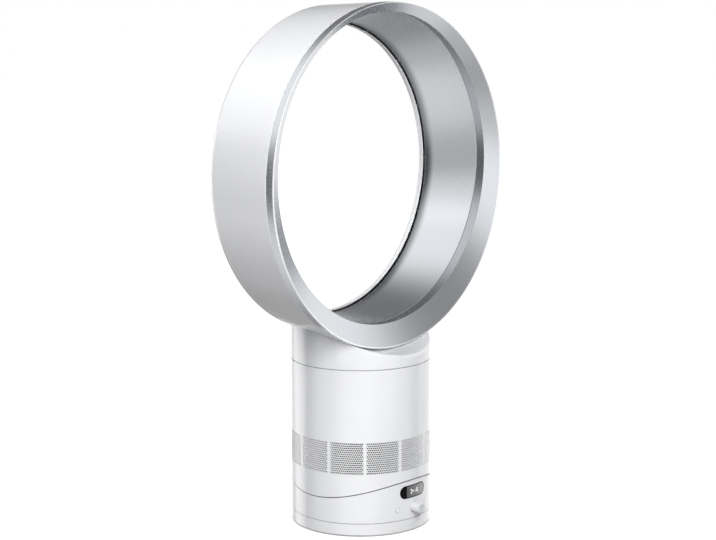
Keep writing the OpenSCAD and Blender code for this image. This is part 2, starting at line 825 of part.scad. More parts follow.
module motor_bucket() color(grey) difference() {
    union() {
        disc(bucket_r, bucket_low, bucket_low + bucket_t);
        ring(bucket_r - bucket_t, bucket_r, bucket_low, shroud_top);
        disc(bearing_boss_r, bucket_low, bucket_low + bearing_t + bearing_lip);
    }
    disc(bearing_r + fit / 2, bucket_low + bearing_lip, shroud_top);
    disc(bearing_r - 2 * bearing_lip, bucket_low - over, shroud_top);
}

module bucket_cap() color(grey) difference() {
    union() {
        disc(bucket_r, shroud_top + fit, shroud_top + fit + bucket_t);
        disc(bearing_boss_r, shroud_top + fit, shroud_top + bearing_t + bucket_t);
    }
    disc(bearing_r + fit / 2, 0, shroud_top + bearing_t + bearing_lip);
}

module stator() color(steel) difference() {
    ring(rotor_r + stator_gap, bucket_r - bucket_t - fit, motor_low(), motor_high());
    around(stator_slots, rotor_r + stator_gap + stator_slot_deep / 2)
        translate([-stator_slot_deep / 2 - over, -stator_slot_w / 2, 0])
            cube([stator_slot_deep + over, stator_slot_w, motor_high() + over]);
}

function motor_low() = bucket_low + bearing_t + bearing_lip + winding_gap;
function motor_high() = shroud_top - winding_gap;

module lower_bearing() color(steel) ring(shaft_r + running, bearing_r, bucket_low + bearing_lip + fit,
    bucket_low + bearing_t + bearing_lip);

module upper_bearing() color(steel)
    ring(shaft_r + running, bearing_r, shroud_top + fit, shroud_top + bearing_t);

module diffuser() color(grey) {
    ring(bucket_r + fit, bucket_r + vane_ring_t, vane_low, vane_high);
    ring(throat_r - vane_ring_t, throat_r - fit, vane_low, vane_high);
    around(vane_count, bucket_r + vane_ring_t / 2) translate([0, -vane_t / 2, vane_low])
        cube([throat_r - bucket_r - vane_ring_t, vane_t, vane_high - vane_low]);
}

module duct_seal() color(rubber)
    ring(throat_r - fit, throat_r + seal_t, shroud_top + fit, lock_flange_low - fit);

module locking_ring() color(acetal) difference() {
    rotate([0, 0, 180 / lug_count]) union() {
        ring(lock_bore_r, lock_r, lock_flange_low, lock_top);
        ring(lock_bore_r, inner_r - fit, lock_flange_low, lock_flange_low + lock_flange_t);
    }
    for (k = [0 : lug_count - 1]) rotate([0, 0, k * 360 / lug_count]) {
        sector(lock_r - lug_deep + spigot_gap - lug_gap, lock_r + over, lug_low - lug_gap,
            lug_low + lug_tall + lug_gap, -lug_half - lug_gap_turn, lug_half + lock_turn + lug_gap_turn);
        sector(lock_r - lug_deep + spigot_gap - lug_gap + fit, lock_r + over, lug_low, lock_top + over,
            lock_turn - lug_half - lug_gap_turn / 2, lug_half + lock_turn + lug_gap_turn / 2);
    }
    around(lug_count, spigot_out - spigot_t / 2, lock_screw_turn)
        disc(lock_screw_r + fit, lock_flange_low - over, lock_flange_low + lock_flange_t + over);
}

module locking_screws() color(steel) around(lug_count, spigot_out - spigot_t / 2, lock_screw_turn)
    translate([0, 0, lock_flange_low + lock_flange_t]) mirror([0, 0, 1])
        screw(lock_flange_t + ledge_t, lock_screw_r, lock_screw_head_r, screw_head_t);

module neck_gasket() color(rubber)
    ring(gasket_low_r, lock_r - lug_deep, lock_top + fit, neck_flange_low - free);

// Impeller and rotor

function tip_r(z) = mouth_r + (throat_r - mouth_r) * (z - flange_low) / (cone_top - flange_low) - tip_gap;

module blade_stock() rotate_extrude() polygon([
    [hub_nose_r - over, impeller_low], [tip_r(impeller_low), impeller_low],
    [tip_r(cone_top - hub_rim_t), cone_top - hub_rim_t], [hub_r - over, cone_top - hub_rim_t]]);

module impeller() color(grey) difference() {
    union() {
        rotate_extrude() polygon([
            [0, impeller_low], [hub_nose_r, impeller_low], [hub_r, impeller_top - hub_rim_t],
            [hub_r, impeller_top], [0, impeller_top]]);
        intersection() {
            blade_stock();
            for (k = [0 : blade_count - 1]) rotate([0, 0, k * 360 / blade_count])
                translate([0, 0, impeller_low]) linear_extrude(impeller_tall) intersection() {
                    translate([blade_curve_r, 0]) difference() {
                        circle(r = blade_curve_r);
                        circle(r = blade_curve_r - blade_t);
                    }
                    square([throat_r, throat_r]);
                }
        }
    }
    disc(shaft_r + running, 0, impeller_top + over);
}

shaft_low = impeller_low - nut_t;

module motor_shaft() color(steel) disc(shaft_r, shaft_low, shroud_top + bearing_t);

module motor_rotor() color(steel) ring(shaft_r + running, rotor_r, motor_low(), motor_high());

module impeller_nut() color(brass) difference() {
    translate([0, 0, shaft_low]) cylinder(h = nut_t - fit, r = nut_r, $fn = nut_sides);
    disc(shaft_r + running, 0, impeller_low + over);
}

// Loop

module wall_cone(extra) {
    translate([0, -column_r, cone_h]) rotate([-90, 0, 0]) cylinder(h = column_d,
        r1 = cone_front_r + cone_slope * (column_r - band_y) + extra,
        r2 = cone_rear_r - cone_slope * (column_r - wall_rear_y) + extra);
}

module air_way(low, high) {
    translate([-air_w / 2, -air_front, low]) cube([air_w, air_front + air_back, high - low]);
}

module loop_neck() color(white) {
    difference() {
        disc(column_r, neck_low, cone_h);
        wall_cone(wall_gap);
        difference() {
            disc(inner_r, neck_low - over, cone_h);
            wall_cone(wall_gap + skin_t);
        }
        air_way(neck_low, cone_h);
    }
    ring(neck_flange_r, inner_r + fit, neck_flange_low, neck_flange_low + neck_flange_t);
    ring(spigot_in, spigot_out, neck_h - spigot_tall, neck_flange_low + neck_flange_t);
    for (k = [0 : lug_count - 1]) rotate([0, 0, k * 360 / lug_count])
        sector(spigot_in - lug_deep, spigot_in + fit, lug_low, lug_low + lug_tall, -lug_half, lug_half);
}

// Stations of the rear bulge from the wall to the lip, drawn in by a thickness
function nose(inset, turns) = [for (t = turns)
    [(wall_rear_r + lip_r) / 2 + ((wall_rear_r - lip_r) / 2 - inset) * cos(t),
     wall_rear_y + (lip_y - wall_rear_y) * (1 - cos(t)) / 2 + (nose_depth - inset) * sin(t),
     loop_axis_h]];

module loop_shell() color(white) difference() {
    loft(concat(
        [[band_r, -band_y, band_c]],
        nose(0, [for (k = [0 : nose_steps]) k * 180 / nose_steps]),
        [[lip_r, lip_y - lip_reach, loop_axis_h], [lip_r + lip_t, lip_y - lip_reach, loop_axis_h]],
        nose(shell_t, [for (k = [nose_steps : -1 : 0]) k * 180 / nose_steps]),
        [[band_r - shell_t, -band_y, band_c]]));
    air_way(0, loop_axis_h - lip_r);
}

module loop_duct() color(silver) loft(concat(
    [[duct_front_r, -duct_front_y, duct_c], [duct_rear_r, duct_rear_y, loop_axis_h]],
    [for (k = [0 : duct_steps]) let (t = k * 180 / duct_steps)
        [duct_rear_r + shell_t / 2 * (1 - cos(t)), duct_rear_y + duct_reach + shell_t / 2 * sin(t),
         loop_axis_h]],
    [[duct_rear_r + shell_t, duct_rear_y, loop_axis_h], [duct_front_r + shell_t, -duct_front_y, duct_c]]));

module front_flare() color(silver) loft(concat(
    [[duct_front_r + shell_t, -duct_front_y - joint_gap, duct_c],
     [duct_front_r, -duct_front_y - joint_gap, duct_c],
     [flare_r, -flare_y, flare_c]],
    [for (k = [0 : rim_steps]) let (t = k * 90 / rim_steps)
        [rim_r - rim_round * (1 - sin(t)), -rim_y + rim_round * (1 - cos(t)), rim_c]],
    [[band_r, -band_y - joint_gap, band_c],
     [band_r - shell_t, -band_y - joint_gap, band_c],
     [rim_r - shell_t, -rim_y + rim_round + shell_t, rim_c],
     [flare_r + shell_t, -flare_y + shell_t, flare_c]]));

// Small ribs that hold the air slot open
module slot_spacers() color(silver) for (k = [0 : spacer_count - 1])
    translate([0, duct_rear_y + fit, loop_axis_h]) rotate([0, k * 360 / spacer_count, 0])
        translate([-spacer_w / 2, 0, lip_r + shell_t + fit])
            cube([spacer_w, spacer_deep, duct_rear_r - lip_r - shell_t - 2 * fit]);

rubber_foot();
base_plate();
foot_shell();
foot_screws();
centre_post();
fixed_gear();
turntable_glide();
turntable_washer();
cord_gland();
terminal_block();
control_housing();
turntable_bush();
saddle_plate();
saddle_screws();
tilt_glides();
oscillation_motor();
control_board();
board_parts();
display_board();
display_module();
display_window();
knob_encoder();
power_switch();
button_switches();
oscillation_pinion();
speed_knob();
power_cap();
left_button();
right_button();
upper_housing();
inlet_screen();
rocker_plate();
tilt_keepers();
keeper_screws();
drive_board();
drive_parts();
silencer_foam();
isolator_ring();
impeller_shroud();
motor_bucket();
bucket_cap();
stator();
lower_bearing();
upper_bearing();
diffuser();
duct_seal();
locking_ring();
locking_screws();
neck_gasket();
impeller();
motor_shaft();
motor_rotor();
impeller_nut();
loop_neck();
loop_shell();
loop_duct();
front_flare();
slot_spacers();
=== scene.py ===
# %% [markdown]
# # A bladeless fan, dressed for its portrait
# The engineering model of the fan comes in as a fixed frame: every part has its
# real size and place, and hidden parts such as the motor are already there. This
# lesson adds what the frame lacks: smooth skins, fine perforation, edges that
# catch the light, finishes, a studio and a camera. Nothing of the frame is moved.

import json
import math

import bpy
from mathutils import Matrix, Vector


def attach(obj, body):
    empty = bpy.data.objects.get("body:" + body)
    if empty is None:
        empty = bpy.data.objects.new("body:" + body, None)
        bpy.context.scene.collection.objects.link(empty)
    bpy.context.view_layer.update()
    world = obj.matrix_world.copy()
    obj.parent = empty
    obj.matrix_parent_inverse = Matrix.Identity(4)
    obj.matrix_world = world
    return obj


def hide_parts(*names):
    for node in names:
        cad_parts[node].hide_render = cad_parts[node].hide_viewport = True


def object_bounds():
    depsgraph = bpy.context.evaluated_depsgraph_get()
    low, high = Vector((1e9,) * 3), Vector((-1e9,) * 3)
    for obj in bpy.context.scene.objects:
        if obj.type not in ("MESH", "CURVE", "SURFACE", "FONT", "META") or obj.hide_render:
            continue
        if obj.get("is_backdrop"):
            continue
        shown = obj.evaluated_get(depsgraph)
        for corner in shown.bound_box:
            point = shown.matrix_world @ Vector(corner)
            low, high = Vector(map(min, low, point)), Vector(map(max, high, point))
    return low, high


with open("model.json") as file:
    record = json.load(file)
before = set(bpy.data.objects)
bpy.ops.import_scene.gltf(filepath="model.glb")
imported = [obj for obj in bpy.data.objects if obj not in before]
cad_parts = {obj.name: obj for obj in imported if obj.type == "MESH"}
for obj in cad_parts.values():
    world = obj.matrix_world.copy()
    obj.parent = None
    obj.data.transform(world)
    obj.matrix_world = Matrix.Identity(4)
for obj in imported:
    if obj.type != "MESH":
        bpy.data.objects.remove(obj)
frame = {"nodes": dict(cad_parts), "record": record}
cad_low, cad_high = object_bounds()
for plain in list(bpy.data.materials):
    bpy.data.materials.remove(plain)
print("nodes:", len(frame["nodes"]), "box:", [round(v, 4) for v in (*cad_low, *cad_high)])

# %% [markdown]
# ## Sizes
# The maker's drawing is in millimetres and Blender works in metres, so sizes are
# written as on the drawing and turned into metres where a mesh is made. Sizes
# that several pieces share stand here, and the others in the cell that needs them
# first. That is what lets a skin sit exactly where its part is.

# %% Sizes that several pieces share
MM = 0.001
COLUMN_R, SKIN = 72.5, 2.4
NECK_SEAM, HALF_SEAM = 172.2, 0.25
KNOB_H = 24.6
print("column", 2 * COLUMN_R, "mm across; the loop's seam is", NECK_SEAM, "mm up")

# %% [markdown]
# ## Camera
# A product photograph is taken from far away with a long lens, so that upright
# lines stay upright. The camera stands at the left front, a little above the
# middle of the loop, and looks slightly down. Its turn is built from three plain
# rotations: round the vertical, down from the horizon, and a trace of roll.

# %% Place the camera
LENS, SENSOR, FARTHEST = 90.35, 36, 60
STAND = (-1.3622, -1.2205, 0.5587)
TURN, DIP, ROLL = -48.06, 9.196, -0.176


def place_camera():
    lens_data = bpy.data.cameras.new("portrait_camera")
    lens_data.lens, lens_data.sensor_width, lens_data.clip_end = LENS, SENSOR, FARTHEST
    camera = bpy.data.objects.new("portrait_camera", lens_data)
    bpy.context.scene.collection.objects.link(camera)
    turn = Matrix.Rotation(math.radians(TURN), 4, "Z")
    tip = Matrix.Rotation(math.radians(90 - DIP), 4, "X")
    roll = Matrix.Rotation(math.radians(ROLL), 4, "Z")
    camera.matrix_world = Matrix.Translation(STAND) @ turn @ tip @ roll
    bpy.context.scene.camera = camera
    return camera


camera = place_camera()
print("camera", [round(v, 3) for v in camera.location], "lens", LENS, "mm")

# %% [markdown]
# ## Finishes: a common start
# A finish is a node material. Each one starts from the same three things: the
# shader, a coordinate in the object's own space, and fine noise, because no real
# surface is one flat number. Object space keeps the grain fixed to the part when
# it turns or tilts.

# %% Start a finish
def start_finish(name):
    finish = bpy.data.materials.new(name)
    finish.use_nodes = True
    nodes, links = finish.node_tree.nodes, finish.node_tree.links
    shader = nodes["Principled BSDF"]
    place = nodes.new("ShaderNodeTexCoord")
    return finish, nodes, links, shader, place.outputs["Object"]


def add_noise(nodes, links, place, scale, detail=3.0):
    noise = nodes.new("ShaderNodeTexNoise")
    noise.inputs["Scale"].default_value = scale
    noise.inputs["Detail"].default_value = detail
    links.new(place, noise.inputs["Vector"])
    return noise.outputs["Fac"]


print("each finish starts from", bpy.app.version_string, "node materials")

# %% [markdown]
# ## Spread noise over a colour or a value
# Noise between 0 and 1 stays near its middle: almost all of it lies between 0.3
# and 0.7. So that band, not the whole range, is stretched over the two colours or
# the two values that a finish may have.

# %% Spread the noise
NOISE_LOW, NOISE_HIGH = 0.3, 0.7


def spread_colour(nodes, links, factor, low, high, socket):
    ramp = nodes.new("ShaderNodeValToRGB")
    for stop, place, colour in zip(ramp.color_ramp.elements, (NOISE_LOW, NOISE_HIGH), (low, high)):
        stop.position, stop.color = place, (*colour, 1)
    links.new(factor, ramp.inputs["Fac"])
    links.new(ramp.outputs["Color"], socket)


def set_range(node, from_low, from_high, to_low, to_high):
    for name, value in zip(("From Min", "From Max", "To Min", "To Max"),
                           (from_low, from_high, to_low, to_high)):
        node.inputs[name].default_value = value


def spread_value(nodes, links, factor, low, high, socket):
    spread = nodes.new("ShaderNodeMapRange")
    set_range(spread, NOISE_LOW, NOISE_HIGH, low, high)
    links.new(factor, spread.inputs["Value"])
    links.new(spread.outputs["Result"], socket)


def add_bump(nodes, links, height, strength, depth, shader):
    bump = nodes.new("ShaderNodeBump")
    bump.inputs["Strength"].default_value = strength
    bump.inputs["Distance"].default_value = depth
    links.new(height, bump.inputs["Height"])
    links.new(bump.outputs["Normal"], shader.inputs["Normal"])


print("noise from", NOISE_LOW, "to", NOISE_HIGH, "is spread over each finish")

# %% [markdown]
# ## White gloss
# The column and the back of the loop are moulded in white ABS and polished. Such
# plastic is a soft, slightly scattering white under a clear hard shine. The
# colour varies by about three percent, and a very faint ripple, as on any moulded
# wall, keeps the long reflections from looking computed.

# %% White gloss
def make_white_gloss():
    finish, nodes, links, shader, place = start_finish("white_gloss")
    cloud = add_noise(nodes, links, place, 14, 2)
    spread_colour(nodes, links, cloud, (0.8, 0.803, 0.814), (0.825, 0.828, 0.84),
                  shader.inputs["Base Color"])
    spread_value(nodes, links, add_noise(nodes, links, place, 90), 0.2, 0.26,
                 shader.inputs["Roughness"])
    add_bump(nodes, links, add_noise(nodes, links, place, 260, 2), 0.05, 0.00004, shader)
    shader.inputs["Coat Weight"].default_value = 1.0
    shader.inputs["Coat Roughness"].default_value = 0.1
    return finish


WHITE = make_white_gloss()
print("made", WHITE.name)

# %% [markdown]
# ## Silver paint
# The inside of the loop and its front rim are sprayed with silver paint: small
# aluminium flakes in a satin lacquer. A plain grey metal would look cast. A cell
# pattern of fractions of a millimetre gives each flake its own brightness instead,
# and the roughness stays broad enough to blur every reflection. Towards the air
# slot the colour is scaled down by the distance along the loop. This is painted shade
# for the dark slot that the curved back of the duct mirrors.

# %% Paint shade towards the slot
SLOT_SHADE_FROM, SLOT_SHADE_TO, SLOT_SHADE_LEFT = 0.026, 0.038, 0.4


# Painted shade: the paint colour is scaled down near the air slot, by distance along the loop.
def paint_slot_shade(nodes, links, place, socket):
    paint = socket.links[0].from_socket
    split, near = nodes.new("ShaderNodeSeparateXYZ"), nodes.new("ShaderNodeMapRange")
    links.new(place, split.inputs["Vector"])
    near.interpolation_type = "SMOOTHSTEP"
    set_range(near, SLOT_SHADE_FROM, SLOT_SHADE_TO, 1, SLOT_SHADE_LEFT)
    links.new(split.outputs["Y"], near.inputs["Value"])
    darken = nodes.new("ShaderNodeVectorMath")
    darken.operation = "SCALE"
    links.new(paint, darken.inputs[0])
    links.new(near.outputs["Result"], darken.inputs["Scale"])
    links.new(darken.outputs["Vector"], socket)


# The darkening towards the slot is painted shade.
print("the spray thins out between", SLOT_SHADE_FROM, "and", SLOT_SHADE_TO, "m")

# %% Silver paint
FLAKES = 2600
FLAKE_LOW, FLAKE_HIGH = (0.575, 0.592, 0.62), (0.6, 0.613, 0.637)


def make_silver_paint(name, low, high, slot_shade=False):
    finish, nodes, links, shader, place = start_finish(name)
    flake = nodes.new("ShaderNodeTexVoronoi")
    flake.inputs["Scale"].default_value = FLAKES
    links.new(place, flake.inputs["Vector"])
    spread_colour(nodes, links, flake.outputs["Distance"], low, high, shader.inputs["Base Color"])
    # Painted shade towards the air slot, on the duct only.
    if slot_shade:
        paint_slot_shade(nodes, links, place, shader.inputs["Base Color"])
    spread_value(nodes, links, add_noise(nodes, links, place, 700), 0.24, 0.28,
                 shader.inputs["Roughness"])
    add_bump(nodes, links, add_noise(nodes, links, place, 1800, 2), 0.008, 0.00003, shader)
    shader.inputs["Metallic"].default_value = 1.0
    return finish


SILVER = make_silver_paint("silver_paint", FLAKE_LOW, FLAKE_HIGH)
# The duct's silver carries painted shade towards the slot.
DUCT_SILVER_SHADED = make_silver_paint("duct_silver_painted_shade", FLAKE_LOW, FLAKE_HIGH, slot_shade=True)
# A darker copy of the silver paint: painted shade on the step.
STEP_SILVER_SHADED = make_silver_paint("step_silver_painted_shade", (0.37, 0.39, 0.415), (0.4, 0.415, 0.435))
print("made", SILVER.name, DUCT_SILVER_SHADED.name, STEP_SILVER_SHADED.name)

# %% [markdown]
# ## Bright rim edge
# The outermost edge of the rim carries a painted highlight: a brighter, smoother
# metal than the paint stands in for the shine on its rounding, so that it shows as
# one bright line. A wider bevel in the paint would make a band, so the edge is a
# piece of its own.

# %% Bright rim edge, a painted highlight
def make_rim_highlight():
    finish, nodes, links, shader, place = start_finish("rim_highlight_paint")
    spread_colour(nodes, links, add_noise(nodes, links, place, 400), (0.9, 0.905, 0.92),
                  (0.94, 0.945, 0.955), shader.inputs["Base Color"])
    spread_value(nodes, links, add_noise(nodes, links, place, 900), 0.16, 0.22,
                 shader.inputs["Roughness"])
    shader.inputs["Metallic"].default_value = 1.0
    return finish


RIM_HIGHLIGHT = make_rim_highlight()
print("made", RIM_HIGHLIGHT.name)

# %% [markdown]
# ## Plastics, rubber and brass inside
# The parts inside are seen only through the perforation, or with the housing
# off, and still get their own stuff: cream acetal for gears and bushes, dark
# glass-filled plastic, soft rubber, and brass. All of them differ only in colour,
# roughness and grain, so one helper with these as its arguments makes them.

# %% Plastics, rubber and brass
def make_plain(name, low, high, rough, grain, bump, metal=0.0, shine=0.5):
    finish, nodes, links, shader, place = start_finish(name)
    spread_colour(nodes, links, add_noise(nodes, links, place, grain / 6), low, high,
                  shader.inputs["Base Color"])
    fine = add_noise(nodes, links, place, grain)
    spread_value(nodes, links, fine, rough - 0.05, rough + 0.05, shader.inputs["Roughness"])
    add_bump(nodes, links, fine, bump, 0.0001, shader)
    shader.inputs["Metallic"].default_value = metal
    shader.inputs["Specular IOR Level"].default_value = shine
    return finish


ACETAL = make_plain("acetal", (0.72, 0.69, 0.6), (0.78, 0.75, 0.66), 0.4, 500, 0.1)
DARK = make_plain("dark_plastic", (0.05, 0.052, 0.055), (0.075, 0.077, 0.08), 0.5, 900, 0.3)
RUBBER = make_plain("rubber_black", (0.018, 0.018, 0.019), (0.03, 0.03, 0.031), 0.75, 700, 0.4)
GLASS = make_plain("window_black", (0.006, 0.006, 0.007), (0.009, 0.009, 0.01), 0.08, 300, 0.01,
                   shine=0.03)
BRASS = make_plain("brass", (0.62, 0.44, 0.16), (0.72, 0.53, 0.22), 0.3, 900, 0.15, 1.0)
print("made", ", ".join(m.name for m in (ACETAL, DARK, RUBBER, GLASS, BRASS)))

# %% [markdown]
# ## Steel and boards
# Turned steel shows fine lines round its axis. Noise stretched along the part's
# upright axis gives them without a picture. A circuit board is green lacquer over
# copper tracks, and a brick pattern at track size stands for those.

# %% Steel and boards
LINES = (60, 60, 2400)


def make_steel():
    finish, nodes, links, shader, place = start_finish("steel")
    stretch = nodes.new("ShaderNodeMapping")
    stretch.inputs["Scale"].default_value = LINES
    links.new(place, stretch.inputs["Vector"])
    lines = add_noise(nodes, links, stretch.outputs["Vector"], 1, 4)
    spread_colour(nodes, links, lines, (0.42, 0.43, 0.44), (0.6, 0.61, 0.62),
                  shader.inputs["Base Color"])
    spread_value(nodes, links, lines, 0.25, 0.4, shader.inputs["Roughness"])
    shader.inputs["Metallic"].default_value = 1.0
    return finish


def make_board():
    finish, nodes, links, shader, place = start_finish("board_green")
    tracks = nodes.new("ShaderNodeTexBrick")
    tracks.inputs["Scale"].default_value = 260
    tracks.inputs["Color1"].default_value = (0.02, 0.14, 0.06, 1)
    tracks.inputs["Color2"].default_value = (0.025, 0.17, 0.075, 1)
    tracks.inputs["Mortar"].default_value = (0.1, 0.3, 0.12, 1)
    tracks.inputs["Mortar Size"].default_value = 0.03
    links.new(place, tracks.inputs["Vector"])
    links.new(tracks.outputs["Color"], shader.inputs["Base Color"])
    spread_value(nodes, links, add_noise(nodes, links, place, 400), 0.3, 0.42,
                 shader.inputs["Roughness"])
    add_bump(nodes, links, tracks.outputs["Fac"], 0.2, 0.00005, shader)
    return finish


STEEL, BOARD = make_steel(), make_board()
print("made", STEEL.name, BOARD.name)

# %% [markdown]
# ## Foam and windings
# Foam rubber is all open cells, and a coil is all turns of wire. Both are patterns
# with depth, so the pattern that colours them also drives a bump: cells for the
# foam, upright waves for the copper.

# %% Foam and windings
def make_foam():
    finish, nodes, links, shader, place = start_finish("foam")
    cells = nodes.new("ShaderNodeTexVoronoi")
    cells.inputs["Scale"].default_value = 700
    links.new(place, cells.inputs["Vector"])
    spread_colour(nodes, links, cells.outputs["Distance"], (0.015, 0.015, 0.016),
                  (0.06, 0.06, 0.062), shader.inputs["Base Color"])
    add_bump(nodes, links, cells.outputs["Distance"], 0.7, 0.0006, shader)
    shader.inputs["Roughness"].default_value = 0.95
    return finish


def make_copper():
    finish, nodes, links, shader, place = start_finish("copper_core")
    turns = nodes.new("ShaderNodeTexWave")
    turns.bands_direction = "Z"
    turns.inputs["Scale"].default_value = 500
    links.new(place, turns.inputs["Vector"])
    spread_colour(nodes, links, turns.outputs["Fac"], (0.45, 0.2, 0.1), (0.7, 0.36, 0.2),
                  shader.inputs["Base Color"])
    add_bump(nodes, links, turns.outputs["Fac"], 0.5, 0.0002, shader)
    shader.inputs["Metallic"].default_value = 0.9
    shader.inputs["Roughness"].default_value = 0.35
    return finish


FOAM, COPPER = make_foam(), make_copper()
print("made", FOAM.name, COPPER.name)

# %% [markdown]
# ## Dress every part of the frame
# Each part already carries the name of its material slot from the maker's parts
# list. The finishes above have the same names, so one loop dresses all parts.

# %% Hand the finishes out
FINISHES = {"white_gloss": WHITE, "silver_paint": SILVER, "window_black": GLASS, "acetal": ACETAL,
            "dark_plastic": DARK, "rubber_black": RUBBER, "brass": BRASS, "steel": STEEL,
            "board_green": BOARD, "foam": FOAM, "copper_core": COPPER}


def dress_nodes():
    slots = {s["node"]: s["material_slot"] for s in frame["record"]["subparts"]}
    for node, obj in frame["nodes"].items():
        obj.data.materials.clear()
        obj.data.materials.append(FINISHES[slots[node]])
    return slots


node_slots = dress_nodes()
print("dressed", len(node_slots), "parts")

# %% [markdown]
# ## Helpers for skins
# A skin here is a grid of points: rows that follow the section of the part, and
# columns that run round it. Joining the last row to the first closes the wall.
# Faces are shaded smooth, and edges that turn by more than 30 degrees stay crisp.

# %% Build a skin from rows of points
CRISP = 30


def make_piece(name, points, faces, finish, body, slot, replaced=()):
    mesh = bpy.data.meshes.new(name)
    mesh.from_pydata([[c * MM for c in p] for p in points], [], faces)
    mesh.validate()
    mesh.shade_smooth()
    mesh.set_sharp_from_angle(angle=math.radians(CRISP))
    mesh.materials.append(finish)
    piece = bpy.data.objects.new(name, mesh)
    bpy.context.scene.collection.objects.link(piece)
    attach(piece, body)
    if replaced:
        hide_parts(*replaced)
    return piece


def weave(rows, closed=True):
    wide, count = len(rows[0]), len(rows)
    points = [p for row in rows for p in row]
    faces = []
    for i in range(count if closed else count - 1):
        for k in range(wide):
            a, b = i * wide + k, (i + 1) % count * wide + k
            c, d = (i + 1) % count * wide + (k + 1) % wide, i * wide + (k + 1) % wide
            faces.append((a, d, c, b))
    return points, faces


print("skin helpers ready")

# %% [markdown]
# ## Round corners in a section
# Real mouldings have no knife edges. A bevel on the finished mesh would round all
# edges alike, so corners are rounded in the section, before there is a mesh: a
# corner gives way to a short arc through a few points. Its two neighbours set the
# arc's direction, so the same helper works for the loop's lip, its rim and the
# knob. A row of points beside each arc keeps the flat face next to it flat in the
# shading.

# %% Soften a section
BESIDE = 0.5


def arc(start, pull, end, t):
    return start * (1 - t) ** 2 + pull * 2 * t * (1 - t) + end * t ** 2


def soften(section, radii, steps=5):
    made, count = [], len(section)
    for i, corner in enumerate(section):
        if i not in radii:
            made.append(tuple(corner))
            continue
        c, reach = Vector(corner), radii[i]
        before, after = Vector(section[i - 1]) - c, Vector(section[(i + 1) % count]) - c
        back, on = before.normalized(), after.normalized()
        if before.length > reach + 2 * BESIDE:
            made.append(tuple(c + back * (reach + BESIDE)))
        for s in range(steps + 1):
            made.append(tuple(arc(c + back * reach, c, c + on * reach, s / steps)))
        if after.length > reach + 2 * BESIDE:
            made.append(tuple(c + on * (reach + BESIDE)))
    return made


print(len(soften([(0, 0, 0), (1, 0, 0), (1, 1, 0)], {1: 0.2})), "points from a corner of three")

# %% [markdown]
# ## The loop's skins
# The loop is a ring of circles of slightly different size and height, threaded on
# a line from back to front: it leans, tapers and rolls over at the back. Each
# section point below is a radius, a distance along the line and the height of
# that circle's centre. One grid through these circles makes each moulding whole.

# %% Thread circles into a ring
LOOP_C, BAND_C, RIM_C, DUCT_C, FLARE_C = 365.1, 362.45, 362.1, 370.0, 369.3
WALL = 2.0


def ring_of_circles(section, turns=360):
    rows = []
    for radius, y, centre in section:
        rows.append([(radius * math.sin(2 * math.pi * k / turns), y,
                      centre + radius * math.cos(2 * math.pi * k / turns)) for k in range(turns)])
    return weave(rows)


print("the loop's middle is", LOOP_C, "mm up")

# %% [markdown]
# ## The white wall
# One white moulding makes the outside of the loop: a wall that tapers slightly and
# rolls inward at the back. A wall with a round tube behind it would show a crease
# between the two. Half an ellipse of circles, which leans a little backwards, runs
# on from the wall without one.

# %% The roll at the back
ROLL_R, ROLL_Y, ROLL_WIDE, ROLL_DEEP, ROLL_LEAN = 158.6, 40.2, 9.7, 9, 3.7


def back_roll(inset, forward=True, steps=24):
    turns = [math.pi * k / steps for k in range(steps + 1)]
    if not forward:
        turns.reverse()
    return [(ROLL_R + (ROLL_WIDE - inset) * math.cos(t),
             ROLL_Y + ROLL_LEAN * (1 - math.cos(t)) / 2 + (ROLL_DEEP - inset) * math.sin(t),
             LOOP_C) for t in turns]


print("the roll at the back has", len(back_roll(0)), "circles")

# %% The wall
FRONT_R, FRONT_Y = 174.3, -37.0
BACK_R, BACK_Y, BACK_DROP = 168.48, 37.9, 0.08
LIP_R, LIP_THICK, LIP_Y = 148.9, 1.3, 41.5


def make_wall():
    section = [(FRONT_R, FRONT_Y, BAND_C), (BACK_R, BACK_Y, LOOP_C - BACK_DROP)] + back_roll(0)
    lip = len(section)
    section += [(LIP_R, LIP_Y, LOOP_C), (LIP_R + LIP_THICK, LIP_Y, LOOP_C)]
    section += back_roll(WALL, forward=False) + [(FRONT_R - WALL, FRONT_Y, BAND_C)]
    section = soften(section, {0: 0.4, lip: 0.4, lip + 1: 0.4}, 3)
    return make_piece("wall_skin", *ring_of_circles(section), WHITE, "loop", "white_gloss",
                      ["loop_shell"])


wall_skin = make_wall()
print(wall_skin.name, len(wall_skin.data.polygons), "faces")

# %% [markdown]
# ## The silver duct
# Inside the loop lies a silver funnel that narrows from the front to the air slot.
# Its circles sink towards the back, so every section point first gets the height
# that belongs to its distance. Near the slot the funnel opens again like a bell. A
# straight cone would end there in a hard line, so a curve takes over.

# %% The silver duct
DUCT_R, DUCT_Y, DUCT_LONG = 158.3, -26.2, 67.3


def on_duct(r, y):
    return (r, y, DUCT_C + (LOOP_C - DUCT_C) * (y - DUCT_Y) / DUCT_LONG)


def bell(start, pull, end, steps=14):
    a, c, b = Vector(start), Vector(pull), Vector(end)
    return [tuple(arc(a, c, b, k / steps)) for k in range(steps + 1)]


def make_duct():
    section = [(DUCT_R, DUCT_Y, DUCT_C)]
    section += bell(on_duct(151.6, 27), on_duct(150.5, 36), on_duct(152, 44.4))
    section += [on_duct(154, 44.4), on_duct(153, 27), (DUCT_R + WALL, DUCT_Y, DUCT_C)]
    section = soften(section, {0: 0.5}, 6)
    return make_piece("duct_skin", *ring_of_circles(section), DUCT_SILVER_SHADED, "loop", "silver_paint",
                      ["loop_duct"])


duct_skin = make_duct()
print(duct_skin.name, len(duct_skin.data.polygons), "faces")

